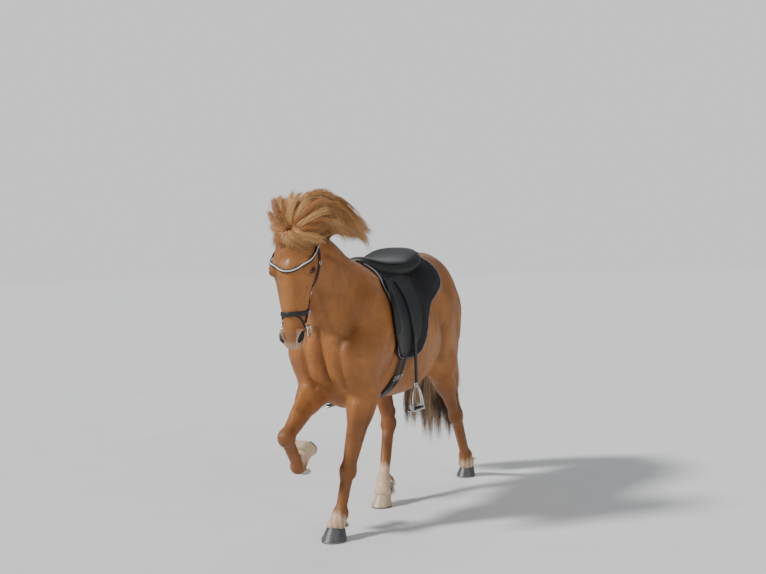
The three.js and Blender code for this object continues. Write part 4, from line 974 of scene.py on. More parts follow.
def build_skin(looks):
    piece = base_of_balls("skin", BODY_PARTS, looks.skin_voxel * 1000)
    p, _ = settle(points_of(piece), 3, looks.coat_depth * 1000, skin_field)
    set_points(piece, p)
    steps = (
        lambda q: head_box(q, 150, 170, -30, 620),
        lambda q: near_face_parts(q, 62),
        lambda q: near_face_parts(q, 40),
    )
    for step in steps:
        refine(piece, step(in_head(points_of(piece))))
        p = points_of(piece)
        moved = head_box(in_head(p), 170, 190, -60, 640)
        p[moved], _ = settle(p[moved], 2, looks.coat_depth * 1000, skin_field)
        set_points(piece, p)
    p = open_lids(points_of(piece))
    out = unit(slope(body_field, p)[1])
    height = raised(p, body_relief())
    p = p + out * (height * looks.relief)[:, None]
    set_points(piece, p)
    piece.data.polygons.foreach_set("use_smooth", [True] * len(piece.data.polygons))
    colour = coat_colour(p, looks)
    # The coat is painted darker in the grooves of the relief and lighter on its ridges: painted shade in the
    # hollows and painted highlight on the ridges.
    hollow_shade, ridge_highlight = np.clip(-height / 7, 0, 1)[:, None], np.clip(height / 7, 0, 1)[:, None]
    paint(piece, "coat", colour * (1 - 0.24 * hollow_shade) * (1 + 0.12 * ridge_highlight))
    paint(piece, "limb", limb_mask(p))
    return finish_piece(piece, "chestnut_coat", "coat", *FLESH_NODES)


EAR = dict(place=(52, -26, 8), length=128, bend=-10, back=0.5, out=0.42)
EAR_RINGS = ((0, 19), (0.16, 25), (0.4, 27), (0.66, 20), (0.86, 10), (1.0, 1.2))


def build_ear(side, name, looks, node):
    """A leaf rolled into a cup: its back sheet runs up one way and its lining comes down the other."""
    rows, half = 30, 20
    t = np.linspace(0, 1, rows)
    even = np.interp(t, [k for k, _ in EAR_RINGS], np.linspace(0, 1, len(EAR_RINGS)))
    radius = through([(r,) for _, r in EAR_RINGS], even)[:, 0]
    points = []
    for k, r in zip(t, radius):
        open_by = 2.75 - 0.75 * math.sin(math.pi * min(1, k * 1.1)) ** 0.7
        wall = min(4.2, r * 0.6)
        sweep = np.linspace(-open_by, open_by, half)
        for inner in (False, True):
            angle, size = (sweep[::-1], r - wall) if inner else (sweep, r)
            points.append(np.stack([
                np.sin(angle) * size + side * EAR["bend"] * k * k,
                -np.cos(angle) * size * 0.72,
                np.full(half, -k * EAR["length"] * 0.985)], axis=1))
    q = np.concatenate(points)
    for turn, (i, j) in ((side * -0.5, (0, 1)), (-EAR["back"], (1, 2)), (side * -EAR["out"], (2, 0))):
        a, b = q[:, i].copy(), q[:, j].copy()
        q[:, i], q[:, j] = a * math.cos(turn) - b * math.sin(turn), a * math.sin(turn) + b * math.cos(turn)
    p = on_head(q + EAR["place"] * vec(side, 1, 1))
    ring = 2 * half
    faces = tube_faces(rows, ring)
    for start in (0, (rows - 1) * ring):
        for j in range(half - 1):
            strip = (start + j, start + ring - 1 - j, start + ring - 2 - j, start + j + 1)
            faces.append(strip if start == 0 else strip[::-1])
    probe = 12 * ring + half // 2
    way = p[probe] - p[12 * ring + ring - 1 - half // 2]
    piece = mesh_from(name, p, facing(p, faces, faces[probe], way))
    lining = np.tile(np.repeat([0.0, 1.0], half), rows)[:, None]
    colour = coat_colour(p, looks)
    paint(piece, "coat", colour + (np.array(looks.dark_coat[:3]) * 0.8 - colour) * lining * 0.7)
    paint(piece, "limb", np.ones(len(p)))
    return finish_piece(piece, "chestnut_coat", "coat", node)


def coat_flow(p):
    """The way the coat lies: backwards on the trunk, down the neck, face and legs."""
    flow = np.zeros_like(p)
    for i, (start, end, radius, _) in enumerate(REGIONS):
        a, d = vec(*start), vec(*end) - vec(*start)
        along = np.clip((p - a) @ d / d.dot(d), 0, 1)
        far = np.linalg.norm(p - a - along[:, None] * d, axis=1) / radius
        way = unit(d) * (-1 if i == 1 else 1) + (vec(0, 0, -0.5) if i < 2 else 0)
        flow += way * np.exp(-1.5 * far ** 2)[:, None]
    return unit(flow)


def coat_tufts(name, pieces, count, length, width, rng, looks, where):
    """Short tufts that lie along the coat and break its outline."""
    roots, normals = [], []
    for piece in pieces:
        mesh = piece.data
        mesh.calc_loop_triangles()
        corners = np.array([t.vertices for t in mesh.loop_triangles])
        p = points_of(piece)
        a, b, c = p[corners[:, 0]], p[corners[:, 1]], p[corners[:, 2]]
        cross = np.cross(b - a, c - a)
        weight = np.linalg.norm(cross, axis=1) * where((a + b + c) / 3)
        number = count // len(pieces)
        pick = rng.choice(len(corners), number, p=weight / weight.sum())
        u, v = rng.random(number), rng.random(number)
        flip = u + v > 1
        u, v = np.where(flip, 1 - u, u)[:, None], np.where(flip, 1 - v, v)[:, None]
        roots.append(a[pick] + (b - a)[pick] * u + (c - a)[pick] * v)
        normals.append(unit(cross[pick]))
    root, out = np.concatenate(roots), np.concatenate(normals)
    flow = coat_flow(root) + rng.normal(0, 0.16, root.shape)
    flow = unit(flow - out * (flow * out).sum(axis=1, keepdims=True))
    size = (length(root) if callable(length) else length) * rng.uniform(0.7, 1.2, len(root))
    steps = vec(-0.05, 0.3, 0.7, 1.0)
    lift = vec(-0.06, 0.05, 0.075, 0.07)
    paths = (root[:, None] + flow[:, None] * (size[:, None, None] * steps[None, :, None])
             + out[:, None] * (size[:, None, None] * lift[None, :, None]))
    # Each tuft is painted about a tenth lighter than the skin under it, a painted lightening against the
    # shade on its own sides and in its shadows; its tone also varies at random.
    tone = rng.uniform(0.98, 1.26, len(root))
    piece = hair_piece(name, paths, width * rng.uniform(0.7, 1.2, len(root)),
                       np.full(len(root), width * 0.12), out, unwrap(root), tone, False)
    per = len(piece.data.vertices) // len(root)
    paint(piece, "coat", np.repeat(coat_colour(root, looks) * tone[:, None], per, axis=0))
    paint(piece, "limb", np.repeat(limb_mask(root), per))
    return finish_piece(piece, "chestnut_coat", "coat")


def in_front(p, y, soft=40):
    return smooth_step(y + soft, y - soft, p[:, 1])


def on_legs(p):
    return smooth_step(660, 600, p[:, 2]) + (p[:, 1] < -560) * smooth_step(720, 690, p[:, 2])


def on_face(p):
    q = in_head(p)
    return head_box(q, 150, 160, -10, math.inf).astype(float)


def under_tack(p):
    pad = (np.abs(p[:, 1] + 4) < 272) & (p[:, 2] > 800)
    girth = (np.abs(p[:, 1] + 165) < 58) & (p[:, 2] > 560) & (p[:, 2] < 830)
    return (pad | girth).astype(float)


# Guides of the long hair

def clear_of_body(points, margin=7.0):
    p = np.array(points, dtype=float)
    for _ in range(3):
        here, grad = slope(body_field, p)
        deep = np.maximum(margin - here, 0)
        p = p + unit(grad) * deep[:, None]
    return p


def guide(points, width, depth, face, tone, gather=0.55, rooted=1):
    """One lock's guide. Its points are kept off the body, but for those that are rooted."""
    p = np.array(points, dtype=float)
    p[rooted:] = clear_of_body(p[rooted:])
    return dict(points=p, width=width, depth=depth, face=unit(vec(*face)), tone=tone, gather=gather)


def mane_guides(rng):
    guides = []
    for _ in range(64):
        t = rng.uniform(0.0, 0.56)
        root = through(CREST, t)
        reach = rng.uniform(170, 312) * (1.04 - 0.3 * t)
        lift = rng.uniform(60, 182) * (1.05 - 0.5 * t)
        turn = rng.normal(0, 0.16)
        bx = 0.79 * math.cos(turn) - 0.61 * math.sin(turn)
        by = 0.61 * math.cos(turn) + 0.79 * math.sin(turn)
        end = lift * rng.uniform(-0.35, 0.62)

        def out(r, z):
            return (root[0] + bx * r, root[1] + by * r, root[2] + z)
        guides.append(guide(
            [add(root, (0, 0, -16)), out(reach * 0.12, lift * 0.55), out(reach * 0.45, lift),
             out(reach * 0.75, lift * 0.72 + end * 0.3), out(reach, end)],
            rng.uniform(18, 34), rng.uniform(8, 14), (-by, bx, 0.3), rng.uniform(0.26, 0.9)))
    for _ in range(44):
        t = rng.uniform(0.3, 0.97)
        root = through(CREST, t)
        drop = rng.uniform(110, 230) * (1.1 - 0.4 * t)
        back = rng.uniform(40, 110)
        guides.append(guide(
            [add(root, (4, 0, -18)), add(root, (-44, back * 0.15, 2)),
             add(root, (-92, back * 0.5, -drop * 0.4)), add(root, (-112, back * 0.8, -drop * 0.75)),
             add(root, (-116, back, -drop))],
            rng.uniform(18, 32), rng.uniform(7, 12), (-1, 0, 0.5), rng.uniform(0.16, 0.72)))
    return guides


def forelock_guides(rng):
    guides = []
    for _ in range(58):
        angle = rng.uniform(-math.pi, math.pi)
        up, side = math.cos(angle), math.sin(angle)
        length = 60 + 140 * max(0, up) ** 1.2 + 70 * abs(side)
        length *= rng.uniform(0.7, 1.05)
        blow = 34 * rng.uniform(0.5, 1.2)
        rise = rng.uniform(22, 40)
        local = [
            (side * 6, 14, 4 - up * 6), (side * length * 0.18, 26 + rise, 4 - up * length * 0.2),
            (side * length * 0.5 + blow * 0.3, 26 + rise, 4 - up * length * 0.55),
            (side * length * 0.82 + blow * 0.8, 18 + rise * 0.4, 4 - up * length * 0.86),
            (side * length + blow * 1.3, 6, 4 - up * length + 16),
        ]
        guides.append(guide([on_head(q) for q in local], rng.uniform(14, 26), rng.uniform(6, 10), HEAD_FRONT,
                            rng.uniform(0.24, 0.86)))
    return guides


def tail_guides(rng):
    line = np.array([row[:3] for row in TAIL], dtype=float)
    half = np.array([row[3:] for row in TAIL], dtype=float)
    guides = []
    for _ in range(72):
        begin = rng.uniform(0.04, 0.34)
        end = rng.uniform(0.7, 1.0)
        t = np.linspace(begin, end, 7)
        centre, size = through(line, t), through(half, t)
        along = unit(np.gradient(centre, axis=0))
        across = unit(vec(1, 0, 0) - along * along[:, :1])
        normal = np.cross(along, across)
        angle = rng.uniform(0, 2 * math.pi)
        radius = math.sqrt(rng.uniform(0.1, 1.0)) * np.linspace(0.45, 1.22 if math.cos(angle) > 0 else 1.0, 7)
        wave = 13 * np.sin(np.linspace(0, rng.uniform(4, 8), 7) + rng.uniform(0, 6.28))
        a = math.cos(angle) * radius * size[:, 0] + wave
        b = math.sin(angle) * radius * size[:, 1]
        p = centre + across * a[:, None] + normal * b[:, None]
        p[:, 2] -= rng.uniform(0, 52) * np.linspace(0, 1, 7) ** 2
        face = normal[3] * (1 if b[3] > 0 else -1)
        guides.append(guide(p, rng.uniform(16, 30), rng.uniform(8, 14), face, rng.uniform(0.0, 0.68),
                            gather=0.4, rooted=2))
    return guides


def feather_guides(rng):
    guides = []
    for name, leg in LEGS.items():
        fetlock, joint, coronet = vec(*leg["fetlock"]), vec(*leg["joint"]), vec(*leg["coronet"])
        down = unit(coronet - fetlock)
        back = vec(0, 1, 0)
        back = unit(back - down * back.dot(down))
        if name == "fore_right":
            back = -unit(vec(0, 0.3, 1) - down * vec(0, 0.3, 1).dot(down))
        longest = {"hind_right": 84, "hind_left": 24}.get(name, 20)
        for _ in range(16 if name == "hind_right" else 7):
            angle = rng.normal(0, 0.7)
            side = vec(1, 0, 0) - down * down[0]
            out = unit(back * math.cos(angle) + side * math.sin(angle))
            above = rng.uniform(-0.12, 0.2) if name == "hind_right" else -0.1
            root = fetlock + (joint - fetlock) * above + out * 26
            length = longest * rng.uniform(0.6, 1.0)
            fall = unit(down * 0.75 + vec(0, 0, -0.55) + out * 0.35)
            points = [root, root + out * 12 + fall * length * 0.3, root + out * 16 + fall * length * 0.7,
                      root + out * 12 + fall * length]
            guides.append(guide(points, rng.uniform(8, 13), rng.uniform(4, 7), out, rng.uniform(0.6, 1.1)))
    return guides


# Hooves

LIFTED_TOE = (0.02, 0.56, -0.83)
# Top of the shoe, height of the horn on it, how far that leans back, and its top's share of the width
SHOE_TOP, HORN_HEIGHT, HORN_BACK, HORN_TOP = 9.3, 52, -25, 0.7


def foot_axes(leg):
    """Across, forward and up of a foot, flat on the floor or turned with the lifted leg."""
    upright = leg["sole"][2] < 1
    up = vec(0, 0, 1) if upright else unit(vec(*leg["coronet"]) - vec(*leg["sole"]))
    toe = vec(0, -1, 0) if upright else vec(*LIFTED_TOE)
    toe = unit(toe - up * toe.dot(up))
    return np.array([np.cross(toe, up), toe, up])


def build_hoof(name, leg, length, width, colour, slot):
    axes = foot_axes(leg)
    sides, rows = 64, 34
    points = []
    for t in np.linspace(0, 1, rows):
        height = SHOE_TOP + t * HORN_HEIGHT
        size = 1.0 + (HORN_TOP - 1.0) * t ** 1.1 + 0.006 * math.sin(t * 42)
        if t > 0.9:
            size *= 1 - 0.9 * (t - 0.9)
        shift, tilt = HORN_BACK * t, 0.24 * t
        for j in range(sides):
            angle = 2 * math.pi * j / sides
            x = math.cos(angle) * width / 2 * size
            y = max(math.sin(angle) * length / 2, -length * 0.42) * size
            points.append((x, y + shift, height + y * tilt))
    points = [(0, 0, SHOE_TOP)] + points + [(0, HORN_BACK, SHOE_TOP + HORN_HEIGHT)]
    world = np.array(points) @ axes + vec(*leg["sole"])
    faces = [(0, 1 + (j + 1) % sides, 1 + j) for j in range(sides)]
    faces += tube_faces(rows, sides, 1)
    last = 1 + (rows - 1) * sides
    faces += [(last + j, last + (j + 1) % sides, len(points) - 1) for j in range(sides)]
    piece = mesh_from(name, world, faces)
    return finish_piece(piece, colour, slot, name.replace("_horn", "_hoof"))


# Eyes

def build_eye(side, name, node):
    bpy.ops.object.select_all(action="DESELECT")
    bpy.ops.mesh.primitive_uv_sphere_add(segments=64, ring_count=40, radius=1, location=(0, 0, 0))
    sphere, faces = taken_from(bpy.context.object)
    out, long, high = eye_axes(side)
    local = sphere[:, :1] * long + sphere[:, 1:2] * high + sphere[:, 2:3] * out
    if np.linalg.det(np.array([long, high, out])) < 0:
        faces = [tuple(reversed(f)) for f in faces]
    piece = mesh_from(name, on_head(eye_centre(side) + local * EYE_RADIUS), faces)
    paint(piece, "iris", np.arccos(np.clip(sphere[:, 2], -1, 1)))
    paint(piece, "pupil", np.sqrt((sphere[:, 0] / 0.42) ** 2 + (sphere[:, 1] / 0.2) ** 2))
    return finish_piece(piece, "eye_glass", "eye", node)


def eye_material():
    tree, shader = new_material("eye_glass")
    iris = attribute(tree, "iris")
    pupil = attribute(tree, "pupil")
    brown = ramp(tree, iris, [(0.0, (0.05, 0.02, 0.008)), (0.62, (0.11, 0.045, 0.015))])
    white = ramp(tree, iris, [(0.74, (0.0, 0.0, 0.0)), (0.86, (1.0, 1.0, 1.0))])
    hole = ramp(tree, pupil, [(0.85, (0.0, 0.0, 0.0)), (1.05, (1.0, 1.0, 1.0))])
    colour = blend_colours(tree, hole, (0.004, 0.004, 0.005), brown)
    colour = blend_colours(tree, white, colour, (0.045, 0.022, 0.013))
    link(tree, colour, shader.inputs["Base Color"])
    shader.inputs["Roughness"].default_value = 0.06
    shader.inputs["Specular IOR Level"].default_value = 0.3
    shader.inputs["Coat Weight"].default_value = 0.35
    shader.inputs["Coat Roughness"].default_value = 0.02


# Tack: shells and straps that follow the body

trunk_field = field_of(TORSO_PARTS + NECK_PARTS + [
    part for leg in LEGS.values() for part in leg_parts(leg)[:2 if "elbow" in leg else 3]])
head_neck_field = field_of(TORSO_PARTS + NECK_PARTS + [HEAD_PART])


def round_trunk(y, angle, lift):
    """A place on the trunk at y and an angle from the spine, 90 degrees being the left side."""
    y, angle = np.broadcast_arrays(np.asarray(y, dtype=float), np.asarray(angle, dtype=float))
    centre = np.stack([np.zeros(y.size), y.ravel(), 925 + (y.ravel() + 330) * 0.14], axis=1)
    turn = np.radians(angle.ravel())
    direction = np.stack([np.sin(turn), np.zeros(y.size), np.cos(turn)], axis=1)
    hit = leaves(centre, direction, 460.0, trunk_field)
    out = unit(slope(trunk_field, hit)[1])
    return hit + out * np.broadcast_to(np.asarray(lift, dtype=float), y.shape).ravel()[:, None], out


def angles_at(places, side=1):
    """Angles round the trunk of places [y, z] in the side view."""
    grid = np.linspace(2, 178, 90)
    found = []
    for y, z in places:
        heights = round_trunk(np.full(90, float(y)), grid, 0.0)[0][:, 2]
        found.append((y, side * np.interp(-z, -heights, grid)))
    return np.array(found)


def closed_curve(points, count):
    """An even, smooth, closed curve through the points."""
    p = np.asarray(points, dtype=float)
    ring = np.concatenate([p[-2:], p, p[:3]])
    k = len(p)
    t = np.linspace(0, 1, count * 8, endpoint=False)
    fine = through(ring, (2 + t * k) / (len(ring) - 1))
    step = np.linalg.norm(np.diff(fine, axis=0, append=fine[:1]), axis=1)
    run = np.concatenate([[0], np.cumsum(step)])
    at = np.linspace(0, run[-1], count, endpoint=False)
    loop = np.concatenate([fine, fine[:1]])
    return np.stack([np.interp(at, run, loop[:, i]) for i in range(loop.shape[1])], axis=1)


EDGE_BULGE = 0.012


def shell_patch(name, outline, centre, low, high, rings, around, puff):
    """A closed panel on the trunk, with its rim and the way off the body there.

    Outline and centre are (y, angle), low and high the lifts of its two sides, and puff raises its face.
    """
    edge = closed_curve(outline, around)
    rows, lifts = [], []
    thick = high - low
    for r in np.linspace(0, 1, rings)[1:]:
        rows.append(centre + (edge - centre) * r)
        lifts.append(np.full(around, high))
    for k in (0.25, 0.5, 0.75, 1.0):
        turn = k * math.pi / 2
        rows.append(centre + (edge - centre) * (1 + EDGE_BULGE * math.sin(turn)))
        lifts.append(np.full(around, low + thick * (0.5 + 0.5 * math.cos(turn))))
    for k in (0.5, 1.0):
        turn = math.pi / 2 + k * math.pi / 2
        rows.append(centre + (edge - centre) * (1 + EDGE_BULGE * math.sin(turn)))
        lifts.append(np.full(around, low + thick * (0.5 + 0.5 * math.cos(turn)) * 0.6))
    for r in np.linspace(1, 0, 12)[1:-1]:
        rows.append(centre + (edge - centre) * r)
        lifts.append(np.full(around, low))
    flat, lift = np.concatenate(rows), np.concatenate(lifts)
    face = np.arange(len(flat)) < (rings - 1) * around
    lift = lift + np.where(face, puff(flat[:, 0], flat[:, 1]), 0.0)
    flat = np.concatenate([flat, [centre, centre]])
    lift = np.concatenate([lift, [high, low]])
    points, out = round_trunk(flat[:, 0], flat[:, 1], lift)
    faces = tube_faces(len(rows), around)
    first, last = len(rows) * around, (len(rows) - 1) * around
    faces += [(first, (j + 1) % around, j) for j in range(around)]
    faces += [(first + 1, last + j, last + (j + 1) % around) for j in range(around)]
    probe = rings // 2 * around
    faces = facing(points, faces, (probe, probe + 1, probe + around), out[probe])
    rim = slice((rings - 2) * around, (rings - 1) * around)
    return mesh_from(name, points, faces), points[rim], out[rim]


def rounded(count, square):
    """Places round a circle of size 1, which turns into a square as the power grows."""
    turn = np.arange(count) / count * 2 * math.pi
    c, s = np.cos(turn), np.sin(turn)
    return np.sign(c) * np.abs(c) ** (2 / square), np.sign(s) * np.abs(s) ** (2 / square)


def band(points, out, width, thick, sides=12, square=3.2, closed=False):
    """Points and faces of a strap with rounded edges along a path, out being the way off the body."""
    points, out = np.asarray(points, dtype=float), unit(np.asarray(out, dtype=float))
    if closed:
        along = unit(np.roll(points, -1, axis=0) - np.roll(points, 1, axis=0))
    else:
        along = unit(np.gradient(points, axis=0))
    out = unit(out - along * (out * along).sum(axis=1, keepdims=True))
    across = np.cross(along, out)
    width = np.broadcast_to(np.asarray(width, dtype=float), len(points))
    thick = np.broadcast_to(np.asarray(thick, dtype=float), len(points))
    a, b = rounded(sides, square)
    ring = (points[:, None] + across[:, None] * (a[None, :, None] * width[:, None, None] / 2)
            + out[:, None] * ((b[None, :, None] + 1) * thick[:, None, None] / 2))
    faces = tube_faces(len(points), sides, closed=closed)
    if not closed:
        last = (len(points) - 1) * sides
        faces += [tuple(reversed(range(sides))), tuple(last + j for j in range(sides))]
    flat = ring.reshape(-1, 3)
    first = faces[0]
    way = (flat[first[0]] + flat[first[2]]) / 2 - ring[0].mean(axis=0)
    return flat, facing(flat, faces, first, way)


def joined_piece(name, shapes):
    """One piece from several lists of points and faces."""
    points, faces, start = [], [], 0
    for p, f in shapes:
        points.append(np.asarray(p))
        faces += [tuple(i + start for i in face) for face in f]
        start += len(p)
    return mesh_from(name, np.concatenate(points), faces)


def make(name, shapes, material, slot, *nodes):
    return finish_piece(joined_piece(name, shapes), material, slot, *nodes)


def hoop(centre, axis_a, axis_b, half_a, half_b, radius, count, square=2.0):
    """A round wire bent to a closed ring."""
    a, b = rounded(count, square)
    loop = centre + (a * half_a)[:, None] * unit(axis_a) + (b * half_b)[:, None] * unit(axis_b)
    out = unit(np.cross(axis_a, axis_b))
    return band(loop - out * radius, out, radius * 2, radius * 2, 10, 2.0, True)


def buckle(centre, along, out, width):
    """A square buckle frame with its tongue, lying on a strap."""
    along, out = unit(along), unit(out)
    across = np.cross(along, out)
    frame_wire = hoop(centre + out * 3.2, along, across, width * 0.42, width * 0.62, 1.5, 36, 5.0)
    tongue = np.array([centre + out * 4.4 + along * t for t in np.linspace(-width * 0.42, width * 0.42, 6)])
    return [frame_wire, band(tongue, out, 1.8, 1.4, 8, 2.0)]


def off_head(centre, direction, lift):
    """Where rays from inside the head leave it, raised by lift, with the way off the skin."""
    hit = leaves(centre, direction, 190.0, head_neck_field)
    out = unit(slope(head_neck_field, hit)[1])
    return hit + out * lift, out


def on_skin(path, count, lift):
    """Smooth path over the head through places (angle, down), with the way off the skin."""
    flat = through(path, np.linspace(0, 1, count))
    turn, down = np.radians(flat[:, 0]), flat[:, 1]
    front = np.where(down < 200, -30 + 6 * (down - 70) / 130, -24 + 24 * (down - 200) / 270)
    centre = on_head(np.stack([np.zeros(len(down)), front, down], axis=1))
    direction = np.sin(turn)[:, None] * HEAD_LEFT + np.cos(turn)[:, None] * HEAD_FRONT
    return off_head(centre, direction, lift)


def stitches(name, edge, centre, low, count, inset=0.955):
    """Short raised stitches that run round inside a panel's edge."""
    line = centre + (closed_curve(edge, count * 3) - centre) * inset
    points, out = round_trunk(line[:, 0], line[:, 1], low)
    shapes = [band(points[i:i + 2], out[i:i + 2], 1.1, 0.9, 6, 2.0) for i in range(0, count * 3, 3)]
    return make(name, shapes, "black_thread", "black_leather")


def build_pad():
    front = [(-222, 1262), (-240, 1180), (-262, 1090), (-268, 1010), (-262, 930), (-248, 866)]
    low = [(-206, 828), (-140, 816), (-60, 816), (6, 838)]
    rear = [(52, 900), (92, 980), (140, 1030), (196, 1070), (244, 1120), (266, 1180)]
    left = angles_at(front + low + rear)
    outline = np.concatenate([[(-212, 0)], left, [(262, 16), (258, 0), (262, -16)], left[::-1] * vec(1, -1)])

    def quilt(y, angle):
        u, v = y / 46.0, angle / 11.0
        cell = np.abs(np.sin((u + v) * math.pi / 2)) * np.abs(np.sin((u - v) * math.pi / 2))
        return 2.2 * np.minimum(cell * 2.0, 1.0) - 1.6
    piece, rim, out = shell_patch("pad", outline, vec(0, 0), 1.5, 11.0, 84, 320, quilt)
    finish_piece(piece, "black_cloth", "pad_cloth", "saddle_pad")
    make("pad_piping", [band(rim - out * 3.2, out, 5.0, 5.0, 10, 2.0, True)], "grey_piping", "pad_cloth")


FLAP_EDGE = [
    (-176, 1206), (-222, 1160), (-268, 1100), (-292, 1030), (-290, 960), (-266, 896), (-222, 850),
    (-160, 832), (-98, 846), (-44, 884), (0, 940), (28, 1010), (44, 1080), (58, 1150), (64, 1204),
]


def knee_block(y, angle):
    """Lift of a flap's face: the padded block along its front edge, and a slight rise under the leather."""
    top, bottom = angles_at([(-236, 1160), (-262, 950)])[:, 1]
    t = (np.abs(angle) - top) / (bottom - top)
    line = -232 - 34 * np.sin(np.clip(t, 0, 1) * math.pi * 0.8)
    across = np.exp(-((y - line) / 21) ** 4)
    ends = smooth_step(-0.05, 0.12, t) * smooth_step(1.1, 0.92, t)
    return 15 * across * ends + 1.2 * np.exp(-((y + 30) / 60) ** 2)


def build_flaps():
    for side, word in SIDES:
        outline = angles_at(FLAP_EDGE, side)
        centre = vec(-116, side * abs(angles_at([(-116, 1040)])[0, 1]))
        piece, rim, out = shell_patch("flap_" + word, outline, centre, 12.5, 18.5, 64, 220, knee_block)
        finish_piece(piece, "black_leather", "black_leather", "saddle_flap_" + word)
        edge = band(rim - out * 1.2, out, 3.0, 3.4, 8, 2.0, True)
        make("flap_edge_" + word, [edge], "black_leather", "black_leather")
        stitches("flap_stitches_" + word, outline, centre, 18.4, 230)


# Stations of the seat: place along the back, height of its top, half width and depth
SEAT = (
    (-226, 1312, 34, 40), (-214, 1330, 52, 72), (-190, 1337, 70, 104), (-150, 1333, 90, 122),
    (-100, 1326, 108, 128), (-50, 1322, 124, 130), (0, 1321, 142, 130), (60, 1326, 160, 134),
    (110, 1340, 170, 140), (150, 1357, 173, 148), (186, 1373, 166, 154), (212, 1377, 148, 150),
    (232, 1366, 116, 124), (246, 1346, 70, 84),
)

WELT_ANGLE = 1.14


def build_seat():
    rows, sides = 90, 96
    table = through(SEAT, np.linspace(0, 1, rows))
    points = []
    for y, top, half, drop in table:
        turn = np.arange(sides) / sides * 2 * math.pi
        up = np.cos(turn)
        dip = np.where(up > 0, 1 - 0.13 * np.cos(turn * 2) * np.clip(up * 3, 0, 1), 1.0)
        welt = 1 - 0.03 * np.exp(-((np.abs(turn - math.pi) - math.pi / 2 - 0.42) / 0.06) ** 2)
        x = np.sin(turn) * half * welt
        z = top - drop / 2 + up * drop * dip / 2 * welt
        points.append(np.stack([x, np.full(sides, y), z], axis=1))
    flat = np.concatenate(points + [np.array([[0, -230, 1296.0], [0, 250, 1316.0]])])
    here, grad = slope(trunk_field, flat)
    flat = flat + unit(grad) * np.maximum(14 - here, 0)[:, None]
    faces = [(a, d, c, b) for a, b, c, d in tube_faces(rows, sides)]
    n = rows * sides
    faces += [(n, j, (j + 1) % sides) for j in range(sides)]
    faces += [(n + 1, (rows - 1) * sides + (j + 1) % sides, (rows - 1) * sides + j) for j in range(sides)]
    probe = rows // 2 * sides
    way = flat[probe] - vec(0, flat[probe][1], 1250)
    piece = mesh_from("seat", flat, facing(flat, faces, faces[probe], way))
    finish_piece(piece, "black_leather", "black_leather", "saddle_seat")
    shapes = []
    y, top, half, drop = table[8:-6].T
    height = top - drop / 2 + math.cos(WELT_ANGLE) * drop / 2 * 1.09
    for side in (1, -1):
        line = np.stack([side * math.sin(WELT_ANGLE) * half, y, height], axis=1)
        out = unit((line - vec(0, 0, 1245)) * vec(1, 0, 1))
        shapes.append(band(line - out * 2.5, out, 5, 6, 10, 2.0))
    make("seat_welts", shapes, "black_leather", "black_leather")


def trunk_strap(y, start, end, lift, width, thick, count):
    """A strap straight round the trunk between two angles."""
    angle = np.linspace(start, end, count)
    points, out = round_trunk(np.full(count, float(y)), angle, lift)
    return band(points, out, width, thick, 14, 3.6)


GIRTH_Y = -165.0


def build_girth():
    ends = angles_at([(GIRTH_Y, 716), (GIRTH_Y, 812)])[:, 1]
    around = trunk_strap(GIRTH_Y, ends[0], 360 - ends[0], 2.0, 92, 9, 120)
    straps, metal = [], []
    for side in (1, -1):
        for off in (-24, 24):
            a, b = (ends[0] + 10, ends[1] - 4) if side > 0 else (360 - ends[0] - 10, 360 - ends[1] + 4)
            straps.append(trunk_strap(GIRTH_Y + off, a, b, 9.0, 25, 4.5, 30))
            mid = a + (b - a) * 0.34
            p, out = round_trunk([GIRTH_Y + off], [mid], 12.0)
            q, _ = round_trunk([GIRTH_Y + off], [mid + 1], 12.0)
            metal += buckle(p[0], q[0] - p[0], out[0], 30)
    make("girth_band", [around], "black_leather", "black_leather", "girth")
    make("billets", straps, "black_leather", "black_leather")
    make("girth_buckles", metal, "bright_steel", "steel")


STIRRUP_Y = -92.0
IRON_TOP = 668.0


# The iron's arch from one end of the tread to the other: along the horse, and below its top
ARCH = ((-60, 116), (-57, 74), (-38, 26), (-12, 2), (12, 2), (38, 26), (57, 74), (60, 116))


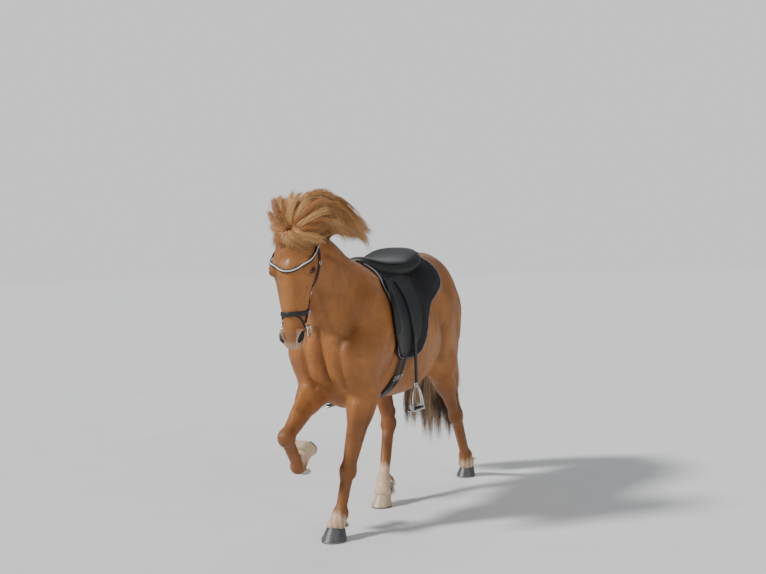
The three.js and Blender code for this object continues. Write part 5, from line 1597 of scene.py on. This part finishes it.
def build_stirrups():
    low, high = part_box("stirrup_iron_left")
    hang = ((low.x + high.x) / 2 - SHIFT[0]) * 1000
    top, bottom = angles_at([(STIRRUP_Y, 1190), (STIRRUP_Y, 960)])[:, 1]
    up = vec(0, 0, 1)
    for side, word in SIDES:
        x, outwards = side * hang, vec(side, 0, 0)
        upper, out = round_trunk(np.full(40, STIRRUP_Y), np.linspace(top, bottom, 40) * side, 19.5)
        fall = np.array([(side * (hang + 1), STIRRUP_Y, z) for z in np.linspace(930, IRON_TOP - 4, 40)])
        path = np.concatenate([upper, fall])
        outs = np.concatenate([out, np.tile(outwards, (40, 1))])
        t = np.linspace(0, 1, 120)
        path, outs = through(path[::4], t), through(outs[::4], t)
        shapes = [band(path + unit(outs) * lift, outs, 25, 3.6, 12, 3.6) for lift in (0, 4.4)]
        make("leather_" + word, shapes, "black_leather", "black_leather", "stirrup_leather_" + word)
        arch = [(x, STIRRUP_Y + along, IRON_TOP - down) for along, down in ARCH]
        arch = through(arch, np.linspace(0, 1, 70))
        grow = np.linspace(-1, 1, 70) ** 2
        shapes = [band(arch - outwards * 5, outwards, 9 + 5 * grow, 10 + 12 * grow, 14, 2.4)]
        rail = np.array([(x, STIRRUP_Y + t, IRON_TOP - 120) for t in np.linspace(-62, 62, 24)])
        shapes += [band(rail + vec(off, 0, -5), up, 7, 9, 12, 2.4) for off in (-17, 17)]
        for t in (-62, 62):
            end = np.array([(x + o, STIRRUP_Y + t, IRON_TOP - 120) for o in np.linspace(-18, 18, 12)])
            shapes.append(band(end + vec(0, 0, -5), up, 7, 9, 12, 2.4))
        for o in (-14, 14):
            post = np.array([(x, STIRRUP_Y + o, z) for z in np.linspace(IRON_TOP - 4, IRON_TOP + 12, 8)])
            shapes.append(band(post - outwards * 3, outwards, 6, 6, 10, 2.0))
        bar = np.array([(x, STIRRUP_Y + o, IRON_TOP + 13) for o in np.linspace(-16, 16, 10)])
        shapes.append(band(bar - outwards * 3, outwards, 6, 6, 10, 2.0))
        make("iron_" + word, shapes, "bright_steel", "steel", "stirrup_iron_" + word)
        tread = np.array([(x, STIRRUP_Y + t, IRON_TOP - 119) for t in np.linspace(-54, 54, 30)])
        make("tread_" + word, [band(tread, up, 30, 8, 14, 3.5)], "black_rubber", "black_leather")


BIT = dict(front=-14, down=452, out=62, radius=27)
CHEEK_PATH = ((118, 78), (114, 150), (112, 240), (110, 330), (106, 430))
BROW_PATH = ((117, 66), (84, 102), (50, 150), (22, 183), (0, 193))
FLASH_PATH = ((0, 388), (38, 404), (76, 432), (112, 462), (150, 478), (180, 482))


def mirrored(path):
    return [(-a, d) for a, d in path]


def over_poll(count=60, lift=1.0):
    turn = np.radians(np.linspace(-104, 104, count))
    centre = np.tile(on_head((0, -64, 74)), (count, 1))
    direction = np.sin(turn)[:, None] * HEAD_LEFT - np.cos(turn)[:, None] * HEAD_DOWN
    return off_head(centre, direction, lift)


def build_bridle():
    nose = [(a, 384 + 8 * math.cos(math.radians(a))) for a in range(0, 360, 20)]
    shapes, metal = [], []
    keeper = slice(50, 54)
    for turned in (list, mirrored):
        p, o = on_skin(turned(CHEEK_PATH), 70, 0.6)
        shapes.append(band(p, o, 15, 4.2))
        shapes.append(band(*on_skin(turned(FLASH_PATH), 50, 0.6), 11, 3.4))
        for at in (16, 44):
            metal += buckle(p[at] + o[at] * 3.6, p[at + 1] - p[at], o[at], 17)
        shapes.append(band(p[keeper] + o[keeper] * 0.4, o[keeper], 18, 5.6))
    brow, brow_out = on_skin(list(BROW_PATH) + mirrored(BROW_PATH[:-1])[::-1], 110, 0.8)
    shapes.append(band(brow, brow_out, 17, 5.0))
    places = [on_skin([(a, d), (a + 20, d)], 2, 0.6) for a, d in nose]
    ring = closed_curve([p[0] for p, _ in places], 120)
    out = unit(closed_curve([o[0] for _, o in places], 120))
    shapes.append(band(ring, out, 21, 6.0, closed=True))
    metal += buckle(ring[34] + out[34] * 5.0, ring[35] - ring[34], out[34], 20)
    shapes.append(band(*over_poll(), 26, 4.6))
    make("bridle_straps", shapes, "black_leather", "black_leather", "bridle")
    make("brow_piping", [band(brow + brow_out * 3.4, brow_out, 5.8, 3.2, 14, 2.2)], "pale_piping", "steel")
    make("bridle_buckles", metal, "bright_steel", "steel")


def build_bit():
    shapes = []
    for side in (1, -1):
        centre = on_head((side * BIT["out"], BIT["front"] - BIT["radius"] * 0.8,
                          BIT["down"] + BIT["radius"] * 0.5))
        r = BIT["radius"] * HEAD_SCALE
        shapes.append(hoop(centre, HEAD_FRONT, HEAD_DOWN, r, r, 3.6, 56))
        knob = np.array([on_head((side * x, BIT["front"], BIT["down"])) for x in np.linspace(46, 70, 16)])
        width = 12 + 5 * np.sin(np.linspace(0, math.pi, 16))
        shapes.append(band(knob - HEAD_FRONT * width[:, None] / 2, HEAD_FRONT, width, width, 14, 2.0))
    bar = np.array([on_head((x, BIT["front"], BIT["down"])) for x in np.linspace(-50, 50, 24)])
    shapes.append(band(bar - HEAD_FRONT * 5.6, HEAD_FRONT, 11.2, 11.2, 14, 2.0))
    make("bit_rings", shapes, "bright_steel", "steel", "bit")


def build_shoe(name, leg, length, width, node):
    axes = foot_axes(leg)
    turn = np.linspace(-0.72, math.pi + 0.72, 70)
    path = np.stack([np.cos(turn) * (width / 2 - 11), np.sin(turn) * (length / 2 - 11), np.zeros(70)], axis=1)
    shapes = [band(path, vec(0, 0, 1), 21.5, 9.0, 14, 6.0)]
    for a in (0.35, 0.75, 1.15, math.pi - 1.15, math.pi - 0.75, math.pi - 0.35):
        x, y = math.cos(a) * (width / 2 - 3), math.sin(a) * (length / 2 - 3)
        inward = unit(vec(-x, -y, 0)) * 0.3
        nail = np.array([vec(x, y, 18), vec(x, y, 21) + inward * 6])
        shapes.append(band(nail, unit(vec(x, y, 0)), 4.0, 3.0, 8, 3.0))
    world = [(np.asarray(q) @ axes + vec(*leg["sole"]), faces) for q, faces in shapes]
    return make(name, world, "worn_iron", "shoe_iron", node)


# Settings, one operator for each piece or group, and the panel

class HorseLooks(bpy.types.PropertyGroup):
    """Sizes and colours of the horse's skin and hair"""
    skin_voxel: bpy.props.FloatProperty(
        name="Skin grid", description="Grid that the skin is grown on", default=0.0105, unit="LENGTH")
    coat_depth: bpy.props.FloatProperty(
        name="Coat depth", description="How far the skin lies inside the flesh", default=0.002, unit="LENGTH")
    relief: bpy.props.FloatProperty(
        name="Relief", description="How strongly the muscles stand out", default=1.5)
    strand_width: bpy.props.FloatProperty(
        name="Strand width", description="Width of one strand of mane or tail", default=0.0031, unit="LENGTH")
    strand_count: bpy.props.IntProperty(
        name="Strands", description="Strands in each piece of long hair", default=5800)
    tuft_count: bpy.props.IntProperty(
        name="Tufts", description="Tufts in each piece of the short coat", default=8000)
    seed: bpy.props.IntProperty(name="Seed", description="Seed of the hair's variation", default=11)
    chestnut: bpy.props.FloatVectorProperty(
        name="Chestnut", description="Main colour of the coat", default=(0.34, 0.134, 0.036), subtype="COLOR")
    dark_coat: bpy.props.FloatVectorProperty(
        name="Dark coat", description="Coat low on the legs and along the back",
        default=(0.15, 0.056, 0.019), subtype="COLOR")
    pale_coat: bpy.props.FloatVectorProperty(
        name="Pale coat", description="Coat of the flank and buttock",
        default=(0.50, 0.25, 0.095), subtype="COLOR")
    cream: bpy.props.FloatVectorProperty(
        name="Cream", description="Socks and lips", default=(0.66, 0.50, 0.34), subtype="COLOR")
    muzzle_grey: bpy.props.FloatVectorProperty(
        name="Muzzle", description="Skin of the muzzle", default=(0.17, 0.105, 0.08), subtype="COLOR")


def looks():
    return bpy.context.scene.horse_looks


class HORSE_OT_finishes(bpy.types.Operator):
    """Makes the materials of the coat, hair, horn, eyes and tack"""
    bl_idname = "horse.finishes"
    bl_label = "Finishes"

    def execute(self, context):
        coat_material()
        eye_material()
        hair_material("mane_finish", (0.11, 0.036, 0.012), (0.42, 0.168, 0.050), (0.73, 0.42, 0.165))
        hair_material("tail_finish", (0.028, 0.017, 0.012), (0.15, 0.082, 0.042), (0.58, 0.40, 0.23))
        hair_material("feather_finish", (0.34, 0.22, 0.13), (0.66, 0.53, 0.38), (0.86, 0.78, 0.66))
        plain_material("dark_horn", (0.075, 0.072, 0.075), 0.38, "streak", grain=380, strength=0.4)
        plain_material("pale_horn", (0.52, 0.40, 0.25), 0.4, "streak", grain=380, strength=0.4)
        plain_material("black_leather", (0.0055, 0.005, 0.005), 0.42, "pebble",
                       grain=720, strength=0.35, depth=0.0004)
        plain_material("black_cloth", (0.010, 0.010, 0.011), 0.9, "weave",
                       grain=210, strength=0.6, depth=0.0005)
        plain_material("bright_steel", (0.62, 0.62, 0.63), 0.22, "streak",
                       metal=1.0, grain=500, strength=0.05)
        plain_material("grey_piping", (0.20, 0.20, 0.21), 0.6, grain=1600)
        plain_material("pale_piping", (0.72, 0.71, 0.68), 0.35, grain=900)
        plain_material("black_thread", (0.035, 0.035, 0.036), 0.7, grain=2000)
        plain_material("black_rubber", (0.018, 0.018, 0.018), 0.75, grain=700, strength=0.5)
        plain_material("worn_iron", (0.24, 0.22, 0.20), 0.5, metal=1.0, grain=300)
        return {"FINISHED"}


class HORSE_OT_skin(bpy.types.Operator):
    """Grows the seamless skin over the whole body"""
    bl_idname = "horse.skin"
    bl_label = "Skin"

    def execute(self, context):
        build_skin(looks())
        return {"FINISHED"}


class HORSE_OT_ears(bpy.types.Operator):
    """Rolls the two ears into their cups"""
    bl_idname = "horse.ears"
    bl_label = "Ears"

    def execute(self, context):
        for side, word in SIDES:
            build_ear(side, "ear_skin_" + word, looks(), "ear_" + word)
        return {"FINISHED"}


class HORSE_OT_coat(bpy.types.Operator):
    """Lays short tufts over the skin, smallest on the face and feet"""
    bl_idname = "horse.coat"
    bl_label = "Coat"

    def execute(self, context):
        s = looks()
        rng = np.random.default_rng(s.seed + 1)
        skin = bpy.data.objects["skin"]
        ears = [bpy.data.objects["ear_skin_left"], bpy.data.objects["ear_skin_right"]]

        def feet(p):
            return 7 + 6 * smooth_step(150, 500, p[:, 2])

        def trunk(p):
            return (1 - np.clip(on_legs(p), 0, 1)) * (1 - on_face(p)) * (1 - under_tack(p))
        coat_tufts("coat_rear", [skin], s.tuft_count, 14, 1.5, rng, s,
                   lambda p: trunk(p) * (1 - in_front(p, -240)))
        coat_tufts("coat_front", [skin], s.tuft_count, 14, 1.5, rng, s,
                   lambda p: trunk(p) * in_front(p, -240))
        coat_tufts("coat_legs", [skin], s.tuft_count * 3 // 4, feet, 1.2, rng, s,
                   lambda p: np.clip(on_legs(p), 0, 1) * (1 - on_face(p)) * (1 - under_tack(p)))
        coat_tufts("coat_face", [skin], s.tuft_count // 2, 5.5, 0.9, rng, s,
                   lambda p: on_face(p) * (in_head(p)[:, 2] < 470))
        coat_tufts("coat_ears", ears, s.tuft_count // 12, 8, 1.0, rng, s, lambda p: np.ones(len(p)))
        return {"FINISHED"}


class HORSE_OT_eyes(bpy.types.Operator):
    """Sets the two eyes behind their lids"""
    bl_idname = "horse.eyes"
    bl_label = "Eyes"

    def execute(self, context):
        for side, word in SIDES:
            build_eye(side, "eye_ball_" + word, "eye_" + word)
        return {"FINISHED"}


class HORSE_OT_hooves(bpy.types.Operator):
    """Lofts the four hooves with their growth rings"""
    bl_idname = "horse.hooves"
    bl_label = "Hooves"

    def execute(self, context):
        for key, node, size, tone in (
            ("fore_left", "foreleg_left", (128, 118), "dark"),
            ("fore_right", "foreleg_right", (128, 118), "pale"),
            ("hind_left", "hind_leg_left", (116, 106), "dark"),
            ("hind_right", "hind_leg_right", (116, 106), "pale"),
        ):
            build_hoof(node + "_horn", LEGS[key], *size, tone + "_horn", tone + "_hoof")
            build_shoe(node + "_iron", LEGS[key], *size, node + "_shoe")
        return {"FINISHED"}


class HORSE_OT_long_hair(bpy.types.Operator):
    """Combs the mane, forelock, tail and feather, strand by strand"""
    bl_idname = "horse.long_hair"
    bl_label = "Long hair"

    def execute(self, context):
        s = looks()
        rng = np.random.default_rng(s.seed)
        width = s.strand_width * 1000
        mane, tail = mane_guides(rng), tail_guides(rng)
        count = s.strand_count
        groups = [
            ("mane_hair_a", mane[::2], count, width, "mane_finish", "mane_hair", ("mane_front",)),
            ("mane_hair_b", mane[1::2], count, width, "mane_finish", "mane_hair", ("mane_rear",)),
            ("forelock_hair", forelock_guides(rng), count, width * 0.8, "mane_finish", "mane_hair", ()),
            ("tail_hair_a", tail[::2], count, width, "tail_finish", "tail_hair", ("tail",)),
            ("tail_hair_b", tail[1::2], count, width, "tail_finish", "tail_hair", ()),
            ("feather_hair", feather_guides(rng), count // 3, width * 0.6, "feather_finish", "coat", ()),
        ]
        for name, guides, number, wide, material, slot, nodes in groups:
            finish_piece(hair_from_guides(name, guides, number, rng, wide), material, slot, *nodes)
        return {"FINISHED"}


class HORSE_OT_saddle(bpy.types.Operator):
    """Builds the saddle with its pad, flaps, girth and stirrups"""
    bl_idname = "horse.saddle"
    bl_label = "Saddle"

    def execute(self, context):
        build_pad()
        build_flaps()
        build_seat()
        build_girth()
        build_stirrups()
        return {"FINISHED"}


class HORSE_OT_bridle(bpy.types.Operator):
    """Builds the bridle with its buckles, and the bit"""
    bl_idname = "horse.bridle"
    bl_label = "Bridle"

    def execute(self, context):
        build_bridle()
        build_bit()
        return {"FINISHED"}


# The camera as fitted to the photo: degrees, metres from the skeleton's zero, and the focal length in pixels
CAMERA_AZIMUTH, CAMERA_PITCH, CAMERA_ROLL = 27.5, 2.65, 2.0
CAMERA_DISTANCE, CAMERA_ASIDE, CAMERA_HEIGHT = 5.736, 0.0289, 1.43
FOCAL_PIXELS, PHOTO_WIDTH, SENSOR_WIDTH = 1100, 766, 36


class HORSE_OT_studio(bpy.types.Operator):
    """Lays the pale floor, hangs the soft lights and sets the camera at the photo's angle"""
    bl_idname = "horse.studio"
    bl_label = "Studio"

    def execute(self, context):
        bpy.ops.object.select_all(action="DESELECT")
        bpy.ops.mesh.primitive_plane_add(size=60, location=(0, 0, 0))
        floor = bpy.context.object
        floor.name = "studio_floor"
        tree, shader = new_material("studio_floor")
        place = object_place(tree)
        tint = ramp(tree, noise(tree, place, 3.0, 4), [(0.3, (0.72, 0.72, 0.71)), (0.7, (0.76, 0.76, 0.75))])
        link(tree, tint, shader.inputs["Base Color"])
        shader.inputs["Roughness"].default_value = 0.95
        shader.inputs["Specular IOR Level"].default_value = 0.1
        floor.data.materials.append(bpy.data.materials["studio_floor"])

        world = bpy.data.worlds.new("studio")
        world.use_nodes = True
        tree = world.node_tree
        light = tree.nodes["Background"]
        light.inputs["Color"].default_value = (0.86, 0.92, 1.0, 1)
        light.inputs["Strength"].default_value = 0.30
        backdrop = tree.nodes.new("ShaderNodeBackground")
        backdrop.inputs["Color"].default_value = (0.97, 0.98, 1.0, 1)
        backdrop.inputs["Strength"].default_value = 0.93
        choice, rays = tree.nodes.new("ShaderNodeMixShader"), tree.nodes.new("ShaderNodeLightPath")
        link(tree, rays.outputs["Is Camera Ray"], choice.inputs[0])
        link(tree, light.outputs[0], choice.inputs[1])
        link(tree, backdrop.outputs[0], choice.inputs[2])
        link(tree, choice.outputs[0], tree.nodes["World Output"].inputs["Surface"])
        context.scene.world = world
        for name, place, spread, power in (
            ("key_sun", (-2.6, -2.5, 3.1), 0.14, 3.9),
            ("side_sun", (3.6, -2.0, 2.2), 0.7, 0.75),
            ("back_sun", (-1.0, 4.4, 3.6), 0.7, 0.6),
        ):
            bpy.ops.object.light_add(type="SUN", location=place)
            lamp = context.object
            lamp.name = name
            lamp.data.angle = spread
            lamp.data.energy = power
            lamp.rotation_euler = (-lamp.location).to_track_quat("-Z", "Y").to_euler()

        az, pitch, roll = (math.radians(a) for a in (CAMERA_AZIMUTH, CAMERA_PITCH, CAMERA_ROLL))
        ahead = vec(-math.sin(az), math.cos(az), 0)
        right = vec(math.cos(az), math.sin(az), 0)
        place = -CAMERA_DISTANCE * ahead + CAMERA_ASIDE * right + vec(0, 0, CAMERA_HEIGHT)
        forward = ahead * math.cos(pitch) - vec(0, 0, 1) * math.sin(pitch)
        upward = vec(0, 0, 1) * math.cos(pitch) + ahead * math.sin(pitch)
        x = right * math.cos(roll) - upward * math.sin(roll)
        y = upward * math.cos(roll) + right * math.sin(roll)
        bpy.ops.object.camera_add(location=(0, 0, 0))
        camera = context.object
        camera.name = "photo_camera"
        camera.data.sensor_fit = "HORIZONTAL"
        camera.data.sensor_width = SENSOR_WIDTH
        camera.data.lens = FOCAL_PIXELS / PHOTO_WIDTH * SENSOR_WIDTH
        turn = Matrix(np.array([x, y, -forward]).T.tolist()).to_4x4()
        camera.matrix_world = Matrix.Translation(Vector((place + SHIFT).tolist())) @ turn
        context.scene.camera = camera
        return {"FINISHED"}


OPERATORS = (HORSE_OT_finishes, HORSE_OT_skin, HORSE_OT_ears, HORSE_OT_coat, HORSE_OT_eyes, HORSE_OT_hooves,
             HORSE_OT_long_hair, HORSE_OT_saddle, HORSE_OT_bridle, HORSE_OT_studio)


class HORSE_PT_panel(bpy.types.Panel):
    """Lists the horse's pieces in the sidebar"""
    bl_idname = "HORSE_PT_panel"
    bl_label = "Icelandic horse"
    bl_space_type = "VIEW_3D"
    bl_region_type = "UI"
    bl_category = "Horse"

    def draw(self, context):
        settings = context.scene.horse_looks
        for name in HorseLooks.__annotations__:
            self.layout.prop(settings, name)
        for operator in OPERATORS:
            self.layout.operator(operator.bl_idname)


CLASSES = (HorseLooks, *OPERATORS, HORSE_PT_panel)


def register():
    for cls in CLASSES:
        bpy.utils.register_class(cls)
    bpy.types.Scene.horse_looks = bpy.props.PointerProperty(type=HorseLooks)


def unregister():
    del bpy.types.Scene.horse_looks
    for cls in reversed(CLASSES):
        bpy.utils.unregister_class(cls)


def main():
    register()
    for operator in OPERATORS:
        group, name = operator.bl_idname.split(".")
        getattr(getattr(bpy.ops, group), name)()


if __name__ == "__main__":
    main()
